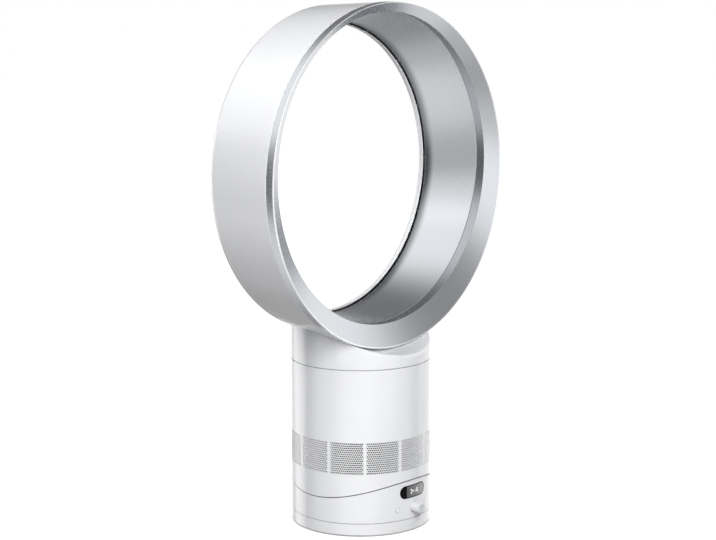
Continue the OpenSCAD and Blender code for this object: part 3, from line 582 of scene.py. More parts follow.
# %% [markdown]
# ## The step and the flare
# At the front the duct meets the flare in a narrow step. It faces slightly back,
# so it gets a darker copy of the silver paint, which is painted shade. On the real
# fan the flare is one moulding, but its two faces get different materials, so each
# gets its own ring of circles. A hair's breadth between the rings gives the thin
# lines where the mouldings meet.

# %% The step
FLARE_R, RIM_R = 157.6, 174.1


# The step's darker silver is painted shade.
def make_step():
    section = [(DUCT_R + WALL, -26.4, DUCT_C), (DUCT_R, -26.4, DUCT_C),
               (FLARE_R, -36.9, FLARE_C), (FLARE_R + WALL, -36.9, FLARE_C)]
    section = soften(section, {1: 0.4}, 6)
    return make_piece("step_skin", *ring_of_circles(section), STEP_SILVER_SHADED, "loop", "silver_paint",
                      ["front_flare"])


step_skin = make_step()
print(step_skin.name, len(step_skin.data.polygons), "faces")

# %% The flare, its band and the bright edge
def make_flare():
    section = [(FLARE_R + WALL, -35.2, FLARE_C), (FLARE_R, -37.0, FLARE_C),
               (RIM_R, -47.1, RIM_C), (FRONT_R, -37.2, BAND_C),
               (FRONT_R - WALL, -37.2, BAND_C), (RIM_R - WALL, -43.9, RIM_C)]
    section = soften(section, {1: 0.3, 2: 1.6, 3: 0.4}, 6)
    return make_piece("flare_skin", *ring_of_circles(section), SILVER, "loop", "silver_paint",
                      ["front_flare"])


# The rim's bright edge is a painted highlight.
def make_rim_edge():
    section = [(172.9, -46.45, 362.62), (174.2, -47.25, RIM_C), (174.42, -45.5, 362.2),
               (173.3, -45.5, 362.3)]
    section = soften(section, {0: 0.2, 1: 1.0, 2: 0.2}, 6)
    return make_piece("rim_edge", *ring_of_circles(section), RIM_HIGHLIGHT, "loop", "silver_paint")


flare_skin, rim_edge = make_flare(), make_rim_edge()
for ring in (flare_skin, rim_edge):
    print(ring.name, len(ring.data.polygons), "faces")

# %% [markdown]
# ## The neck under the loop
# The neck is the top of the column, cut to the shape of the wall that it carries.
# In front it stands free of the rim, and there its edge is rounded to a bright
# shoulder. Cutting a tube with the wall would leave a ragged mesh, so its top is
# worked out for every angle from the wall's own cone. The air comes up through a
# hole with straight sides in the middle.

# %% Height of the neck's top
CONE_R, CONE_TAPER, CONE_C, CONE_GAP = 175.625, 0.11205, 363.775, 0.2
SUNK, SUNK_FROM, SUNK_TO = 0.45, 42, 47
HOLE_SIDE, HOLE_FRONT, HOLE_BACK = 42, 28, 31


def smooth_step(low, high, value):
    t = min(max((value - low) / (high - low), 0), 1)
    return t * t * (3 - 2 * t)


def neck_top(radius, turn):
    x, y = radius * math.cos(turn), radius * math.sin(turn)
    wall_r = CONE_R - CONE_TAPER * (y - FRONT_Y) + CONE_GAP
    sunk = SUNK * (1 - smooth_step(SUNK_FROM, SUNK_TO, -y))
    return CONE_C - math.sqrt(wall_r ** 2 - x ** 2) + sunk


def air_hole(turn):
    side = HOLE_SIDE / max(abs(math.cos(turn)), 1e-6)
    end = (HOLE_FRONT if math.sin(turn) < 0 else HOLE_BACK) / max(abs(math.sin(turn)), 1e-6)
    return min(side, end)


for degrees in (-90, 0, 90):
    height = neck_top(COLUMN_R, math.radians(degrees))
    print("neck top at", degrees, "degrees:", round(height, 1), "mm")

# %% [markdown]
# ## The neck's section
# Seen from the side, the neck's wall goes up, over the shoulder, in to the air
# hole and back down to a flange and a spigot that stands in the column. Each angle
# has a section of the same number of points, so that the sections weave into one
# closed skin.

# %% One section of the neck
SHOULDER, SHOULDER_FROM, SHOULDER_TO, SMALL_EDGE = 3.4, 38, 52, 0.15
SPIGOT_IN, SPIGOT_OUT, SPIGOT_DEEP = 67.2, 69.6, 8
FLANGE_IN, FLANGE_LOW, FLANGE_HIGH = 56, 0.8, 2.8
NECK_STEPS = 8


def neck_section(turn):
    inner, low, high = COLUMN_R - SKIN, NECK_SEAM + HALF_SEAM, neck_top(COLUMN_R, turn)
    front = smooth_step(SHOULDER_FROM, SHOULDER_TO, -COLUMN_R * math.sin(turn))
    edge = SMALL_EDGE + SHOULDER * front
    shares = [s / NECK_STEPS for s in range(NECK_STEPS + 1)]
    top = [COLUMN_R - edge + (air_hole(turn) - COLUMN_R + edge) * share for share in shares]
    section = [(COLUMN_R - 0.3, low), (COLUMN_R, low + 0.3), (COLUMN_R, low + 4)]
    section += [(arc(COLUMN_R, COLUMN_R, top[0], share),
                 arc(high - edge, high, neck_top(top[0], turn), share)) for share in shares]
    section += [(r, neck_top(r, turn)) for r in top[1:]]
    section += [(top[-1], neck_top(top[-1], turn) - SKIN), (inner, neck_top(inner, turn) - SKIN)]
    under, over, end = low + FLANGE_LOW, low + FLANGE_HIGH, NECK_SEAM - SPIGOT_DEEP
    section += [(inner, over), (FLANGE_IN, over), (FLANGE_IN, under), (SPIGOT_IN, under),
                (SPIGOT_IN, end), (SPIGOT_OUT, end), (SPIGOT_OUT, under), (inner, under),
                (inner, low)]
    return section


print("a section of the neck has", len(neck_section(0)), "points")

# %% [markdown]
# ## The neck and its lugs
# Three small lugs on the spigot hold the loop when it is twisted shut. They are
# hidden, but they are part of this moulding, so they belong in its skin too. Each
# is a short curved bar, built from slices with a face at either end.

# %% The neck
LUG = ((64.4, 165.8), (67.3, 165.8), (67.3, 168.8), (64.4, 168.8))
LUGS, LUG_HALF, LUG_STEPS = 3, 4, 6


def add_lug(points, faces, middle):
    first, half = len(points), math.radians(LUG_HALF)
    for s in range(LUG_STEPS + 1):
        turn = middle + half * (2 * s / LUG_STEPS - 1)
        points += [(r * math.cos(turn), r * math.sin(turn), z) for r, z in LUG]
    for s in range(LUG_STEPS):
        for e in range(4):
            a, b = first + 4 * s + e, first + 4 * s + (e + 1) % 4
            faces.append((a, a + 4, b + 4, b))
    last = first + 4 * LUG_STEPS
    faces += [tuple(range(first, first + 4)), tuple(range(last + 3, last - 1, -1))]


def make_neck(turns=360):
    columns = []
    for k in range(turns):
        turn = 2 * math.pi * k / turns
        columns.append([(r * math.cos(turn), r * math.sin(turn), z) for r, z in neck_section(turn)])
    rows = [list(row) for row in zip(*columns)]
    rows.reverse()
    points, faces = weave(rows)
    for k in range(LUGS):
        add_lug(points, faces, math.radians(k * 360 / LUGS))
    return make_piece("neck_skin", points, faces, WHITE, "loop", "white_gloss", ["loop_neck"])


neck_skin = make_neck()
print(neck_skin.name, len(neck_skin.data.polygons), "faces")

# %% [markdown]
# ## The perforated panels
# Each of the twelve inlet panels is a thin curved plate with about 250 small holes
# in staggered rows. A dotted picture on a plain plate would give itself away in the
# grazing light at the column's sides, so the holes are real. The pattern is worked
# out on the flat, as arc length and height, and bent round the column last.

# %% Sizes of the perforation
PANELS, BAR_W, INLET_LOW, INLET_HIGH = 12, 3.2, 64.8, 97.5
HOLE_ROWS, HOLES, HOLE_PITCH, ROW_PITCH, HOLE_R = 15, 17, 2.05, 2.18, 0.84
PLATE_R = (COLUMN_R, COLUMN_R - 0.8)
PLAY = 0.1
GRILLE_HALF = COLUMN_R * math.radians(180 / PANELS) - BAR_W / 2 - PLAY
GRILLE_LOW, GRILLE_HIGH = INLET_LOW + PLAY, INLET_HIGH - PLAY
print("a panel is", round(2 * GRILLE_HALF, 1), "by", round(GRILLE_HIGH - GRILLE_LOW, 1), "mm")

# %% Points that neighbours share
class Plate:
    """Collects points on the column by arc length and height, each made once."""

    def __init__(self):
        self.points, self.faces, self.made = [], [], {}

    def spot(self, panel, along, z, r):
        key = (panel, round(along, 3), round(z, 3), r)
        if key not in self.made:
            turn = math.radians(panel * 360 / PANELS - 90) + along / COLUMN_R
            self.made[key] = len(self.points)
            self.points.append((r * math.cos(turn), r * math.sin(turn), z))
        return self.made[key]

    def face(self, panel, corners, r):
        spots = [self.spot(panel, along, z, r) for along, z in corners]
        self.faces.append(tuple(spots if r == COLUMN_R else reversed(spots)))

    def edge(self, panel, a, b):
        self.faces.append((self.spot(panel, *a, PLATE_R[1]), self.spot(panel, *b, PLATE_R[1]),
                           self.spot(panel, *b, PLATE_R[0]), self.spot(panel, *a, PLATE_R[0])))


print("a plate is", round(PLATE_R[0] - PLATE_R[1], 1), "mm thick")

# %% [markdown]
# ## One hole and its cell
# Every hole has a cell of the plate round it. Six faces fill the cell between its
# border and the hole, on both sides of the plate, and twelve more line the hole.
# Cells use their neighbours' points, so the plate becomes one closed skin.

# %% Cut one hole
def cut_cell(plate, panel, centre, middle, left, right, low, high):
    turns = [math.pi * k / 6 for k in range(12)]
    ring = [(centre + HOLE_R * math.cos(t), middle + HOLE_R * math.sin(t)) for t in turns]
    border = [(centre, low), (right, low), (right, high), (centre, high), (left, high), (left, low)]
    for r in PLATE_R:
        for k in range(6):
            hole_side = [ring[(2 * k + step) % 12] for step in (11, 10, 9)]
            plate.face(panel, [border[k], border[(k + 1) % 6]] + hole_side, r)
    for k in range(12):
        plate.edge(panel, ring[(k + 1) % 12], ring[k])


print("a hole is", 2 * HOLE_R, "mm wide")

# %% Cut a row of holes
def cut_row(plate, panel, row):
    middle = (GRILLE_LOW + GRILLE_HIGH) / 2 + ROW_PITCH * (row - (HOLE_ROWS - 1) / 2)
    low = GRILLE_LOW if row == 0 else middle - ROW_PITCH / 2
    high = GRILLE_HIGH if row == HOLE_ROWS - 1 else middle + ROW_PITCH / 2
    count = HOLES - row % 2
    for k in range(count):
        centre = HOLE_PITCH * (k - (count - 1) / 2)
        left = max(centre - HOLE_PITCH / 2, -GRILLE_HALF)
        right = min(centre + HOLE_PITCH / 2, GRILLE_HALF)
        cut_cell(plate, panel, centre, middle, left, right, low, high)
    if row % 2:
        end = HOLE_PITCH * count / 2
        for r in PLATE_R:
            for left, right in ((end, GRILLE_HALF), (-GRILLE_HALF, -end)):
                plate.face(panel, [(left, low), (right, low), (right, high), (left, high)], r)
    plate.edge(panel, (GRILLE_HALF, low), (GRILLE_HALF, high))
    plate.edge(panel, (-GRILLE_HALF, high), (-GRILLE_HALF, low))


print("rows of", HOLES, "and", HOLES - 1, "holes take turns")

# %% The grille
def make_grille():
    plate = Plate()
    stops = [HOLE_PITCH * k / 2 for k in range(1 - HOLES, HOLES)]
    stops = [-GRILLE_HALF] + stops + [GRILLE_HALF]
    for panel in range(PANELS):
        for row in range(HOLE_ROWS):
            cut_row(plate, panel, row)
        for a, b in zip(stops, stops[1:]):
            plate.edge(panel, (a, GRILLE_LOW), (b, GRILLE_LOW))
            plate.edge(panel, (b, GRILLE_HIGH), (a, GRILLE_HIGH))
    return make_piece("inlet_grille", plate.points, plate.faces, WHITE, "column", "white_gloss",
                      ["inlet_screen"])


inlet_grille = make_grille()
holes = PANELS * sum(HOLES - row % 2 for row in range(HOLE_ROWS))
print(inlet_grille.name, len(inlet_grille.data.polygons), "faces,", holes, "holes")

# %% [markdown]
# ## The dark sleeve
# Behind the plates lies a thin black sleeve, painted shade that keeps the view
# through the holes dark. It hangs straight and never moves, so a short tube of
# four rings is enough.

# %% The dark sleeve
SLEEVE_R, SLEEVE_IN = 70.0, 69.5


def make_sleeve(turns=180):
    low, high = INLET_LOW - 3, INLET_HIGH + 1
    rows = []
    for r, z in ((SLEEVE_R, low), (SLEEVE_R, high), (SLEEVE_IN, high), (SLEEVE_IN, low)):
        rows.append([(r * math.cos(2 * math.pi * k / turns),
                      r * math.sin(2 * math.pi * k / turns), z) for k in range(turns)])
    rows.reverse()
    return make_piece("shade_sleeve", *weave(rows), FOAM, "column", "foam")


shade_sleeve = make_sleeve()
print(shade_sleeve.name, len(shade_sleeve.data.polygons), "faces")

# %% [markdown]
# ## Strips in the seams
# The column turns and tilts along its two lower seams. Inside each gap lies a dark
# strip, which is painted shade: from outside it is just a thin, even shadow.
# It follows the same arc as the gap, slightly behind the surface. The lower seam is
# level, and the upper one is an arc about the axis that the column tilts on.

# %% Seam strips
FOOT_SEAM, TILT_AXIS, TILT_R, HALF_TILT_SEAM = 13.3, 214.2, 176.1, 0.45
STRIP_IN, STRIP_OUT = COLUMN_R - 2.0, COLUMN_R - 0.35


# A dark band just behind the seam's gap: painted shade.
def make_seam_shade_strip(name, low, high, body, turns=240):
    columns = []
    for k in range(turns):
        turn = 2 * math.pi * k / turns
        column = []
        for r, edge in ((STRIP_OUT, low), (STRIP_OUT, high), (STRIP_IN, high), (STRIP_IN, low)):
            y = r * math.sin(turn)
            column.append((r * math.cos(turn), y, edge(y)))
        columns.append(column)
    rows = [list(row) for row in zip(*columns)]
    rows.reverse()
    return make_piece(name, *weave(rows), RUBBER, body, "rubber_black")


def level(z):
    return lambda y: z


def tilt_arc(radius):
    return lambda y: TILT_AXIS - math.sqrt(radius ** 2 - y ** 2)


seam_shade_strips = [
    make_seam_shade_strip("foot_seam_shade", level(FOOT_SEAM - HALF_SEAM),
               level(FOOT_SEAM + HALF_SEAM - 0.1), "foot"),
    make_seam_shade_strip("tilt_seam_shade", tilt_arc(TILT_R + HALF_TILT_SEAM),
               tilt_arc(TILT_R - HALF_TILT_SEAM + 0.2), "control"),
]
print("strips:", ", ".join(s.name for s in seam_shade_strips))

# %% [markdown]
# ## Turned parts
# The knob and the two buttons are bodies of revolution about lines that point out
# of the column. One helper turns a profile of distance and radius about such a
# line, which keeps every edge exactly round, also where the parts stick out at an
# angle to the axes.

# %% Turn a profile about a line out of the column
def turn_profile(profile, axis_turn, closed, turns=72):
    a = math.radians(axis_turn)
    out, side = Vector((math.sin(a), -math.cos(a), 0)), Vector((math.cos(a), math.sin(a), 0))
    rows = []
    for distance, radius in profile:
        middle = out * distance + Vector((0, 0, KNOB_H))
        row = []
        for k in range(turns):
            turn = 2 * math.pi * k / turns
            row.append(tuple(middle + side * radius * math.cos(turn)
                             + Vector((0, 0, radius * math.sin(turn)))))
        rows.append(row)
    points, faces = weave(rows, closed)
    if not closed:
        faces.append(tuple(range(turns)))
        faces.append(tuple(range(len(points) - 1, len(points) - turns - 1, -1)))
    return points, faces


print("profiles turn about lines", KNOB_H, "mm up")

# %% [markdown]
# ## The knob
# The speed knob is a short tube round the power cap, on a thinner stem that goes
# through the column's wall. The rounded corner of its face shows as a thin bright
# ring, so this corner gets the largest radius.

# %% The knob
KNOB_FACE, KNOB_BACK, KNOB_R = 83, 71.3, 5.4
STEM_END, STEM_R, BORE_R = 59.6, 2.9, 1.5
SEAT, SEAT_R = 78.2, 3.5


def make_knob():
    profile = [(KNOB_FACE, SEAT_R, 0), (KNOB_FACE, KNOB_R, 0), (KNOB_BACK, KNOB_R, 0),
               (KNOB_BACK, STEM_R, 0), (STEM_END, STEM_R, 0), (STEM_END, BORE_R, 0),
               (SEAT, BORE_R, 0), (SEAT, SEAT_R, 0)]
    profile = [p[:2] for p in soften(profile, {0: 0.25, 1: 0.9}, 6)]
    return make_piece("knob_skin", *turn_profile(profile, 0, True), WHITE, "knob",
                      "white_gloss", ["speed_knob"])


knob_skin = make_knob()
print(knob_skin.name, len(knob_skin.data.polygons), "faces")

# %% [markdown]
# ## The two push buttons
# Each button is a small domed disc on a wider collar that keeps it from falling
# out. The dome is so low that it shows only as a shift in the shine. A few rings
# of a parabola give it.

# %% The two push buttons
BUTTON_TURN = 17.2
DOME_TOP, DOME_FALL, DOME_R = 73.4, 0.35, 2.6
COLLAR_FRONT, COLLAR_BACK, COLLAR_R, PIN_END, PIN_R = 69.2, 68.2, 3.4, 63.6, 1.2


def make_button(name, axis_turn, body, node):
    dome = [(DOME_TOP - DOME_FALL * (r / DOME_R) ** 2, r) for r in (0.2, 0.7, 1.2, 1.7, 2.1)]
    dome += [(73.1, 2.35), (72.9, 2.53), (72.6, DOME_R)]
    collar = [(COLLAR_FRONT, DOME_R), (COLLAR_FRONT, COLLAR_R), (COLLAR_BACK, COLLAR_R),
              (COLLAR_BACK, PIN_R), (PIN_END, PIN_R)]
    skin = turn_profile(dome + collar, axis_turn, False, 48)
    return make_piece(name, *skin, WHITE, body, "white_gloss", [node])


buttons = [make_button("left_button_skin", -BUTTON_TURN, "left_push", "left_button"),
           make_button("right_button_skin", BUTTON_TURN, "right_push", "right_button")]
print("buttons:", ", ".join(b.name for b in buttons))

# %% [markdown]
# ## Display and marks
# Behind the dark window a liquid-crystal pane is lit from its right end. On it
# stand a small fan sign and the speed, here 4. A lamp behind the window would light
# the room as well, so pane and marks glow only weakly, in their own material.

# %% Finishes of the display
PANE_DIM, PANE_BRIGHT = (-0.011, 0.085), (0.018, 0.36)


def make_lit_pane():
    finish, nodes, links, shader, place = start_finish("lit_pane")
    split = nodes.new("ShaderNodeSeparateXYZ")
    links.new(place, split.inputs["Vector"])
    glow = nodes.new("ShaderNodeMapRange")
    set_range(glow, PANE_DIM[0], PANE_BRIGHT[0], PANE_DIM[1], PANE_BRIGHT[1])
    links.new(split.outputs["X"], glow.inputs["Value"])
    links.new(glow.outputs["Result"], shader.inputs["Emission Strength"])
    spread_colour(nodes, links, add_noise(nodes, links, place, 900), (0.9, 0.9, 0.93), (1, 1, 1),
                  shader.inputs["Emission Color"])
    shader.inputs["Base Color"].default_value = (0.01, 0.01, 0.011, 1)
    shader.inputs["Roughness"].default_value = 0.15
    shader.inputs["Specular IOR Level"].default_value = 0.1
    return finish


def make_lit_mark():
    finish, nodes, links, shader, place = start_finish("lit_mark")
    spread_colour(nodes, links, add_noise(nodes, links, place, 1200), (0.9, 0.9, 0.92), (1, 1, 1),
                  shader.inputs["Emission Color"])
    shader.inputs["Emission Strength"].default_value = 0.8
    shader.inputs["Base Color"].default_value = (0.2, 0.2, 0.2, 1)
    shader.inputs["Roughness"].default_value = 0.4
    return finish


LIT_PANE, LIT_MARK = make_lit_pane(), make_lit_mark()
INK = make_plain("grey_ink", (0.13, 0.13, 0.134), (0.16, 0.16, 0.165), 0.5, 900, 0.05)
print("made", LIT_PANE.name, LIT_MARK.name, INK.name)

# %% [markdown]
# ## Thin slabs
# A print has no thickness worth drawing, but a face without thickness has no
# inside and flickers. So each print is a slab a few hundredths of a millimetre
# thick that follows the surface under it, the column's curve or the cap's flat
# face. Strokes are cut into short steps so that they can bend with the column.

# %% Slabs that follow a surface
STROKE_STEP = 0.8


def on_column(along, height, r):
    turn = along / COLUMN_R
    return (r * math.sin(turn), -r * math.cos(turn), height)


def add_slab(points, faces, outline, low_r, high_r, place):
    first, count = len(points), len(outline)
    points += [place(u, v, low_r) for u, v in outline] + [place(u, v, high_r) for u, v in outline]
    faces.append(tuple(first + count + k for k in range(count)))
    faces.append(tuple(first + k for k in reversed(range(count))))
    for k in range(count):
        m = (k + 1) % count
        faces.append((first + k, first + m, first + count + m, first + count + k))


def add_stroke(points, faces, start, end, width, low_r, high_r, place):
    a, b = Vector(start), Vector(end)
    steps = max(1, round((b - a).length / STROKE_STEP))
    across = Vector((-(b - a).y, (b - a).x)).normalized() * width / 2
    stops = [a + (b - a) * s / steps for s in range(steps + 1)]
    outline = [tuple(p - across) for p in stops] + [tuple(p + across) for p in reversed(stops)]
    add_slab(points, faces, outline, low_r, high_r, place)


print("a stroke bends every", STROKE_STEP, "mm")

# %% [markdown]
# ## The lit pane
# The pane fills the right part of the window and has round corners like it. It is
# made of narrow upright slices, each as tall as the window's outline allows there.

# %% The lit pane
WINDOW_H, WINDOW_W, WINDOW_TALL, FRAME = 41.6, 37.6, 13.4, 0.9
PANE_LEFT, SLICES = -10.2, 60


def pane_height(u, edge, tall):
    return math.sqrt(max(tall ** 2 - max(abs(u) - edge + tall, 0) ** 2, 0.01))


def make_pane():
    points, faces = [], []
    edge, tall = WINDOW_W / 2 - FRAME, WINDOW_TALL / 2 - FRAME
    stops = [PANE_LEFT + (edge - PANE_LEFT) * s / SLICES for s in range(SLICES + 1)]
    for a, b in zip(stops, stops[1:]):
        at_a, at_b = pane_height(a, edge, tall), pane_height(b, edge, tall)
        outline = [(a, WINDOW_H - at_a), (b, WINDOW_H - at_b),
                   (b, WINDOW_H + at_b), (a, WINDOW_H + at_a)]
        add_slab(points, faces, outline, COLUMN_R + 0.01, COLUMN_R + 0.03, on_column)
    return make_piece("display_pane", points, faces, LIT_PANE, "control", "window_black")


display_pane = make_pane()
print(display_pane.name, len(display_pane.data.polygons), "faces")

# %% [markdown]
# ## The marks on the pane
# The fan sign is three slanted petals about one point, and the figure 4 is three
# straight strokes. Both lie a hair above the pane, so that the pane's own light
# stays behind them.

# %% The marks
SIGN_AT, PETALS, PETAL_POINTS = -2.9, 3, 16
FOUR = (((5.6, 44.2), (2.7, 40.7)), ((2.4, 40.7), (7.0, 40.7)), ((5.8, 44.3), (5.8, 39.0)))


def petal_outline(turn):
    outline = []
    for s in range(PETAL_POINTS):
        t = 2 * math.pi * s / PETAL_POINTS
        along, across = 1.75 + 1.25 * math.cos(t), 0.85 * math.sin(t) + 0.25 * math.cos(t)
        outline.append((SIGN_AT + along * math.cos(turn) - across * math.sin(turn),
                        WINDOW_H - 0.1 + along * math.sin(turn) + across * math.cos(turn)))
    return outline


def make_marks():
    points, faces = [], []
    low_r, high_r = COLUMN_R + 0.02, COLUMN_R + 0.06
    for k in range(PETALS):
        add_slab(points, faces, petal_outline(2 * math.pi * k / PETALS), low_r, high_r, on_column)
    for start, end in FOUR:
        add_stroke(points, faces, start, end, 0.75, low_r, high_r, on_column)
    return make_piece("display_marks", points, faces, LIT_MARK, "control", "window_black")


display_marks = make_marks()
print(display_marks.name, len(display_marks.data.polygons), "faces")

# %% [markdown]
# ## The power sign
# The cap in the knob carries the usual power sign, printed in grey: a ring with a
# gap at the top and a stroke in the gap. It uses the same slabs as the display, on
# a flat face.

# %% The power sign on the cap
SIGN_IN, SIGN_OUT, SIGN_GAP, SIGN_STEPS = 1.35, 1.6, 32, 40
CAP_FACE, PRINT = 82.7, 82.73


def on_cap(along, height, distance):
    return (along, -distance, KNOB_H + height)


def make_power_sign():
    points, faces = [], []
    sweep = 360 - 2 * SIGN_GAP
    turns = [math.radians(90 + SIGN_GAP + sweep * s / SIGN_STEPS) for s in range(SIGN_STEPS + 1)]
    for a, b in zip(turns, turns[1:]):
        corners = ((SIGN_IN, a), (SIGN_IN, b), (SIGN_OUT, b), (SIGN_OUT, a))
        outline = [(r * math.cos(t), r * math.sin(t)) for r, t in corners]
        add_slab(points, faces, outline, CAP_FACE, PRINT, on_cap)
    add_stroke(points, faces, (0, 0.1), (0, 2.0), 0.5, CAP_FACE, PRINT, on_cap)
    return make_piece("power_sign", points, faces, INK, "cap", "dark_plastic")


power_sign = make_power_sign()
print(power_sign.name, len(power_sign.data.polygons), "faces")

# %% [markdown]
# ## Studio
# White things are photographed by the light that falls on them, silver things by
# what they mirror. So the studio has two parts: soft lamps all round that shape the
# white column and the wall of the loop, and a world that shows polished surfaces
# bright cards and dark flags, as photographers set up round a shiny object. The
# lamps themselves are kept out of reflections. The camera sees plain white.

# %% Lamps
AIM = (0, 0, 0.27)
LAMPS = (  # name, azimuth, elevation, distance, width, height, watts
    ("key_lamp", -36, 26, 2.4, 0.8, 1.5, 56),
    ("top_lamp", -95, 60, 2.0, 1.0, 1.0, 11.5),
    ("left_lamp", -125, 40, 2.4, 0.8, 1.3, 5.5),
    ("right_lamp", 106, 24, 2.4, 0.8, 1.5, 26),
    ("back_lamp", 168, 30, 2.4, 1.0, 1.3, 26),
)


def direction(azimuth, elevation):
    a, e = math.radians(azimuth), math.radians(elevation)
    return Vector((math.sin(a) * math.cos(e), -math.cos(a) * math.cos(e), math.sin(e)))


def soft_lamp(name, azimuth, elevation, distance, wide, tall, watts):
    data = bpy.data.lights.new(name, "AREA")
    data.shape, data.size, data.size_y, data.energy = "RECTANGLE", wide, tall, watts
    lamp = bpy.data.objects.new(name, data)
    bpy.context.scene.collection.objects.link(lamp)
    back = direction(azimuth, elevation)
    lamp.location = Vector(AIM) + back * distance
    lamp.rotation_mode = "QUATERNION"
    lamp.rotation_quaternion = back.to_track_quat("Z", "Y")
    lamp.visible_glossy = False


for lamp in LAMPS:
    soft_lamp(*lamp)
print("lamps:", ", ".join(lamp[0] for lamp in LAMPS))

# %% [markdown]
# ## Cards and flags
# Each card is a soft round patch in one direction: full strength inside the first
# angle, fading to nothing at the second. A positive strength is a white card, a
# negative one a black flag. Real cards would stand in the picture, so these are
# patches of the world that only reflections see.

# %% The cards
CARDS = (  # name, azimuth, elevation, full to, gone at, strength
    ("card_back_left_high", -141, 43, 8, 34, 0.65),
    ("card_back_left_low", -132, -42, 8, 30, 0.35),
    ("card_right", 90, -1, 28, 48, 0.62),
    ("card_front", -6, 2, 9, 22, 0.72),
    ("card_left", -115, 22, 7, 22, 0.45),
    ("card_right_low", 78, -52, 10, 32, 0.35),
    ("card_key", -54, -12, 24, 38, 0.78),
    ("card_left_edge", -172, -5, 9, 26, 1.5),
    ("card_back_edge", 148, -6, 8, 22, 0.5),
    ("flag_back_left", -140, -1, 9, 22, -0.55),
    ("flag_back_right_high", 141, 30, 16, 38, -0.45),
    ("flag_back_right_low", 141, -40, 12, 34, -0.3),
    ("flag_front_right", 28, 22, 4, 24, -0.35),
    ("flag_front_low", -14, -41, 4, 15, -0.2),
    ("flag_right_low", 54, -14, 4, 14, -0.5),
)
print("cards and flags:", len(CARDS))

# %% Which rays see white
def combine(nodes, links, operation, first, second):
    both = nodes.new("ShaderNodeMath")
    both.operation = operation
    links.new(first, both.inputs[0])
    links.new(second, both.inputs[1])
    return both.outputs[0]


def camera_rays(nodes, links):
    path = nodes.new("ShaderNodeLightPath")
    seen = combine(nodes, links, "MAXIMUM", path.outputs["Is Camera Ray"],
                   path.outputs["Is Transmission Ray"])
    return seen, path.outputs["Is Glossy Ray"]


print("the camera sees white, directly or through clear parts")

# %% Add the cards up
def add_cards(nodes, links, base):
    place, total = nodes.new("ShaderNodeTexCoord"), None
    for name, azimuth, elevation, inner, outer, strength in CARDS:
        toward = nodes.new("ShaderNodeVectorMath")
        toward.name, toward.operation = name, "DOT_PRODUCT"
        toward.inputs[1].default_value = direction(azimuth, elevation)
        links.new(place.outputs["Generated"], toward.inputs[0])
        patch = nodes.new("ShaderNodeMapRange")
        patch.interpolation_type = "SMOOTHSTEP"
        set_range(patch, math.cos(math.radians(outer)), math.cos(math.radians(inner)), 0, strength)
        links.new(toward.outputs["Value"], patch.inputs["Value"])
        add = nodes.new("ShaderNodeMath")
        add.operation = "ADD"
        links.new(patch.outputs["Result"], add.inputs[0])
        add.inputs[1].default_value = base
        if total:
            links.new(total, add.inputs[1])
        total = add.outputs[0]
    return total


print("the first card starts from the plain surroundings, the others add to it")

# %% [markdown]
# ## The world
# One background can't light the fan softly, shine in its silver and look white in
# the picture. So three kinds of ray see three worlds: light that scatters from the
# fan sees a weak, bluish fill, reflections see the cards, and the camera sees white.

# %% The world
FILL_COLOUR, FILL, SURROUND = (0.86, 0.91, 1, 1), 0.14, 0.7


def make_world():
    world = bpy.data.worlds.new("studio")
    bpy.context.scene.world = world
    world.use_nodes = True
    nodes, links = world.node_tree.nodes, world.node_tree.links
    fill = nodes["Background"]
    cards, white = nodes.new("ShaderNodeBackground"), nodes.new("ShaderNodeBackground")
    fill.inputs["Color"].default_value = FILL_COLOUR
    fill.inputs["Strength"].default_value = FILL
    cards.inputs["Color"].default_value = (1, 1, 1, 1)
    links.new(add_cards(nodes, links, SURROUND), cards.inputs["Strength"])
    white.inputs["Color"].default_value = (1, 1, 1, 1)
    white.inputs["Strength"].default_value = 1
    camera_ray, glossy_ray = camera_rays(nodes, links)
    shown = fill.outputs["Background"]
    for ray, background in ((glossy_ray, cards), (camera_ray, white)):
        mix = nodes.new("ShaderNodeMixShader")
        links.new(ray, mix.inputs["Fac"])
        links.new(shown, mix.inputs[1])
        links.new(background.outputs["Background"], mix.inputs[2])
        shown = mix.outputs["Shader"]
    links.new(shown, nodes["World Output"].inputs["Surface"])


make_world()
print("fill", FILL, "and surroundings", SURROUND)

# %% [markdown]
# ## Floor
# The floor is a large disc. It takes the soft shadow of the foot and gives back
# little light, so that the underside of the loop stays darker than its top. A
# glow makes it white for the camera, also through clear parts, and lights nothing.
# It stops under the foot, which leaves a thin line of contact shadow, and grows
# outward until floor and background are the same. Reflections leave the floor out
# and show the cards below it.

# %% The floor's glow
GLOW_STEPS = ((0.25, 1.5, 0.86), (0.0712, 0.0736, 0.25))


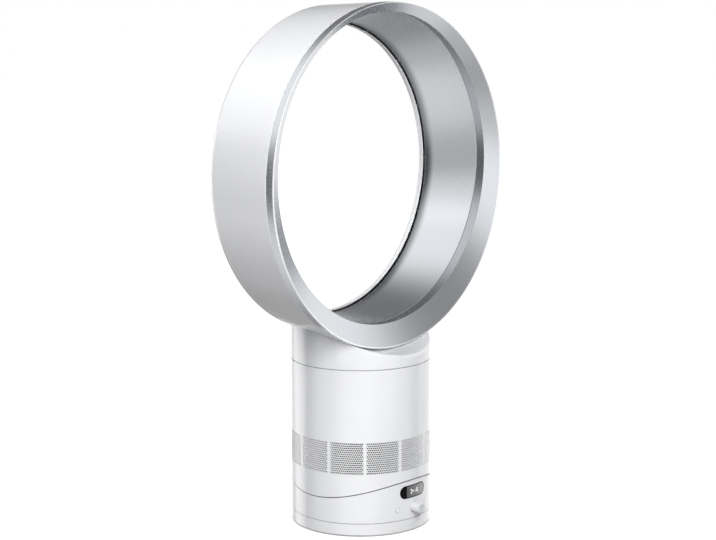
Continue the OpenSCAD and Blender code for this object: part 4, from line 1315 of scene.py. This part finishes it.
def glow_strength(nodes, links):
    place, length = nodes.new("ShaderNodeTexCoord"), nodes.new("ShaderNodeVectorMath")
    length.operation = "LENGTH"
    links.new(place.outputs["Object"], length.inputs[0])
    camera_ray, glossy_ray = camera_rays(nodes, links)
    strength = combine(nodes, links, "MAXIMUM", camera_ray, glossy_ray)
    for near, far, low in GLOW_STEPS:
        grow = nodes.new("ShaderNodeMapRange")
        set_range(grow, near, far, low, 1)
        links.new(length.outputs["Value"], grow.inputs["Value"])
        strength = combine(nodes, links, "MULTIPLY", strength, grow.outputs["Result"])
    return strength


print("the glow starts", GLOW_STEPS[1][1], "m out and is full at", GLOW_STEPS[0][1], "m")

# %% The floor
FLOOR_R, FLOOR_SIDES, FLOOR_GREY = 9.0, 64, (0.3, 0.3, 0.3, 1)


def make_floor_paint():
    paint = bpy.data.materials.new("floor_paint")
    paint.use_nodes = True
    nodes, links = paint.node_tree.nodes, paint.node_tree.links
    shader = nodes["Principled BSDF"]
    shader.inputs["Base Color"].default_value = FLOOR_GREY
    shader.inputs["Roughness"].default_value = 0.9
    shader.inputs["Specular IOR Level"].default_value = 0
    glow, both = nodes.new("ShaderNodeEmission"), nodes.new("ShaderNodeAddShader")
    glow.inputs["Color"].default_value = (1, 1, 1, 1)
    links.new(glow_strength(nodes, links), glow.inputs["Strength"])
    links.new(shader.outputs["BSDF"], both.inputs[0])
    links.new(glow.outputs["Emission"], both.inputs[1])
    links.new(both.outputs["Shader"], nodes["Material Output"].inputs["Surface"])
    return paint


def make_floor():
    turns = [2 * math.pi * k / FLOOR_SIDES for k in range(FLOOR_SIDES)]
    mesh = bpy.data.meshes.new("studio_floor")
    mesh.from_pydata([(FLOOR_R * math.cos(t), FLOOR_R * math.sin(t), 0) for t in turns], [],
                     [tuple(range(FLOOR_SIDES))])
    mesh.materials.append(make_floor_paint())
    floor = bpy.data.objects.new("studio_floor", mesh)
    bpy.context.scene.collection.objects.link(floor)
    floor.visible_glossy = False
    floor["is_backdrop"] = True
    return floor


floor = make_floor()
bpy.context.scene.view_settings.view_transform = "Standard"
print(floor.name, 2 * FLOOR_R, "m across")

# %% [markdown]
# ## Size against the frame
# Skins must not outgrow the frame. The frame's box was printed at the start, and
# how far the dressed scene reaches past it is printed at the end.

# %% Print how far the scene grew
def write_sizes():
    low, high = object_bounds()
    grown = [round(1000 * v, 2) for v in (*(Vector(cad_low) - low), *(high - Vector(cad_high)))]
    print("grown past the frame, mm:", grown)


write_sizes()
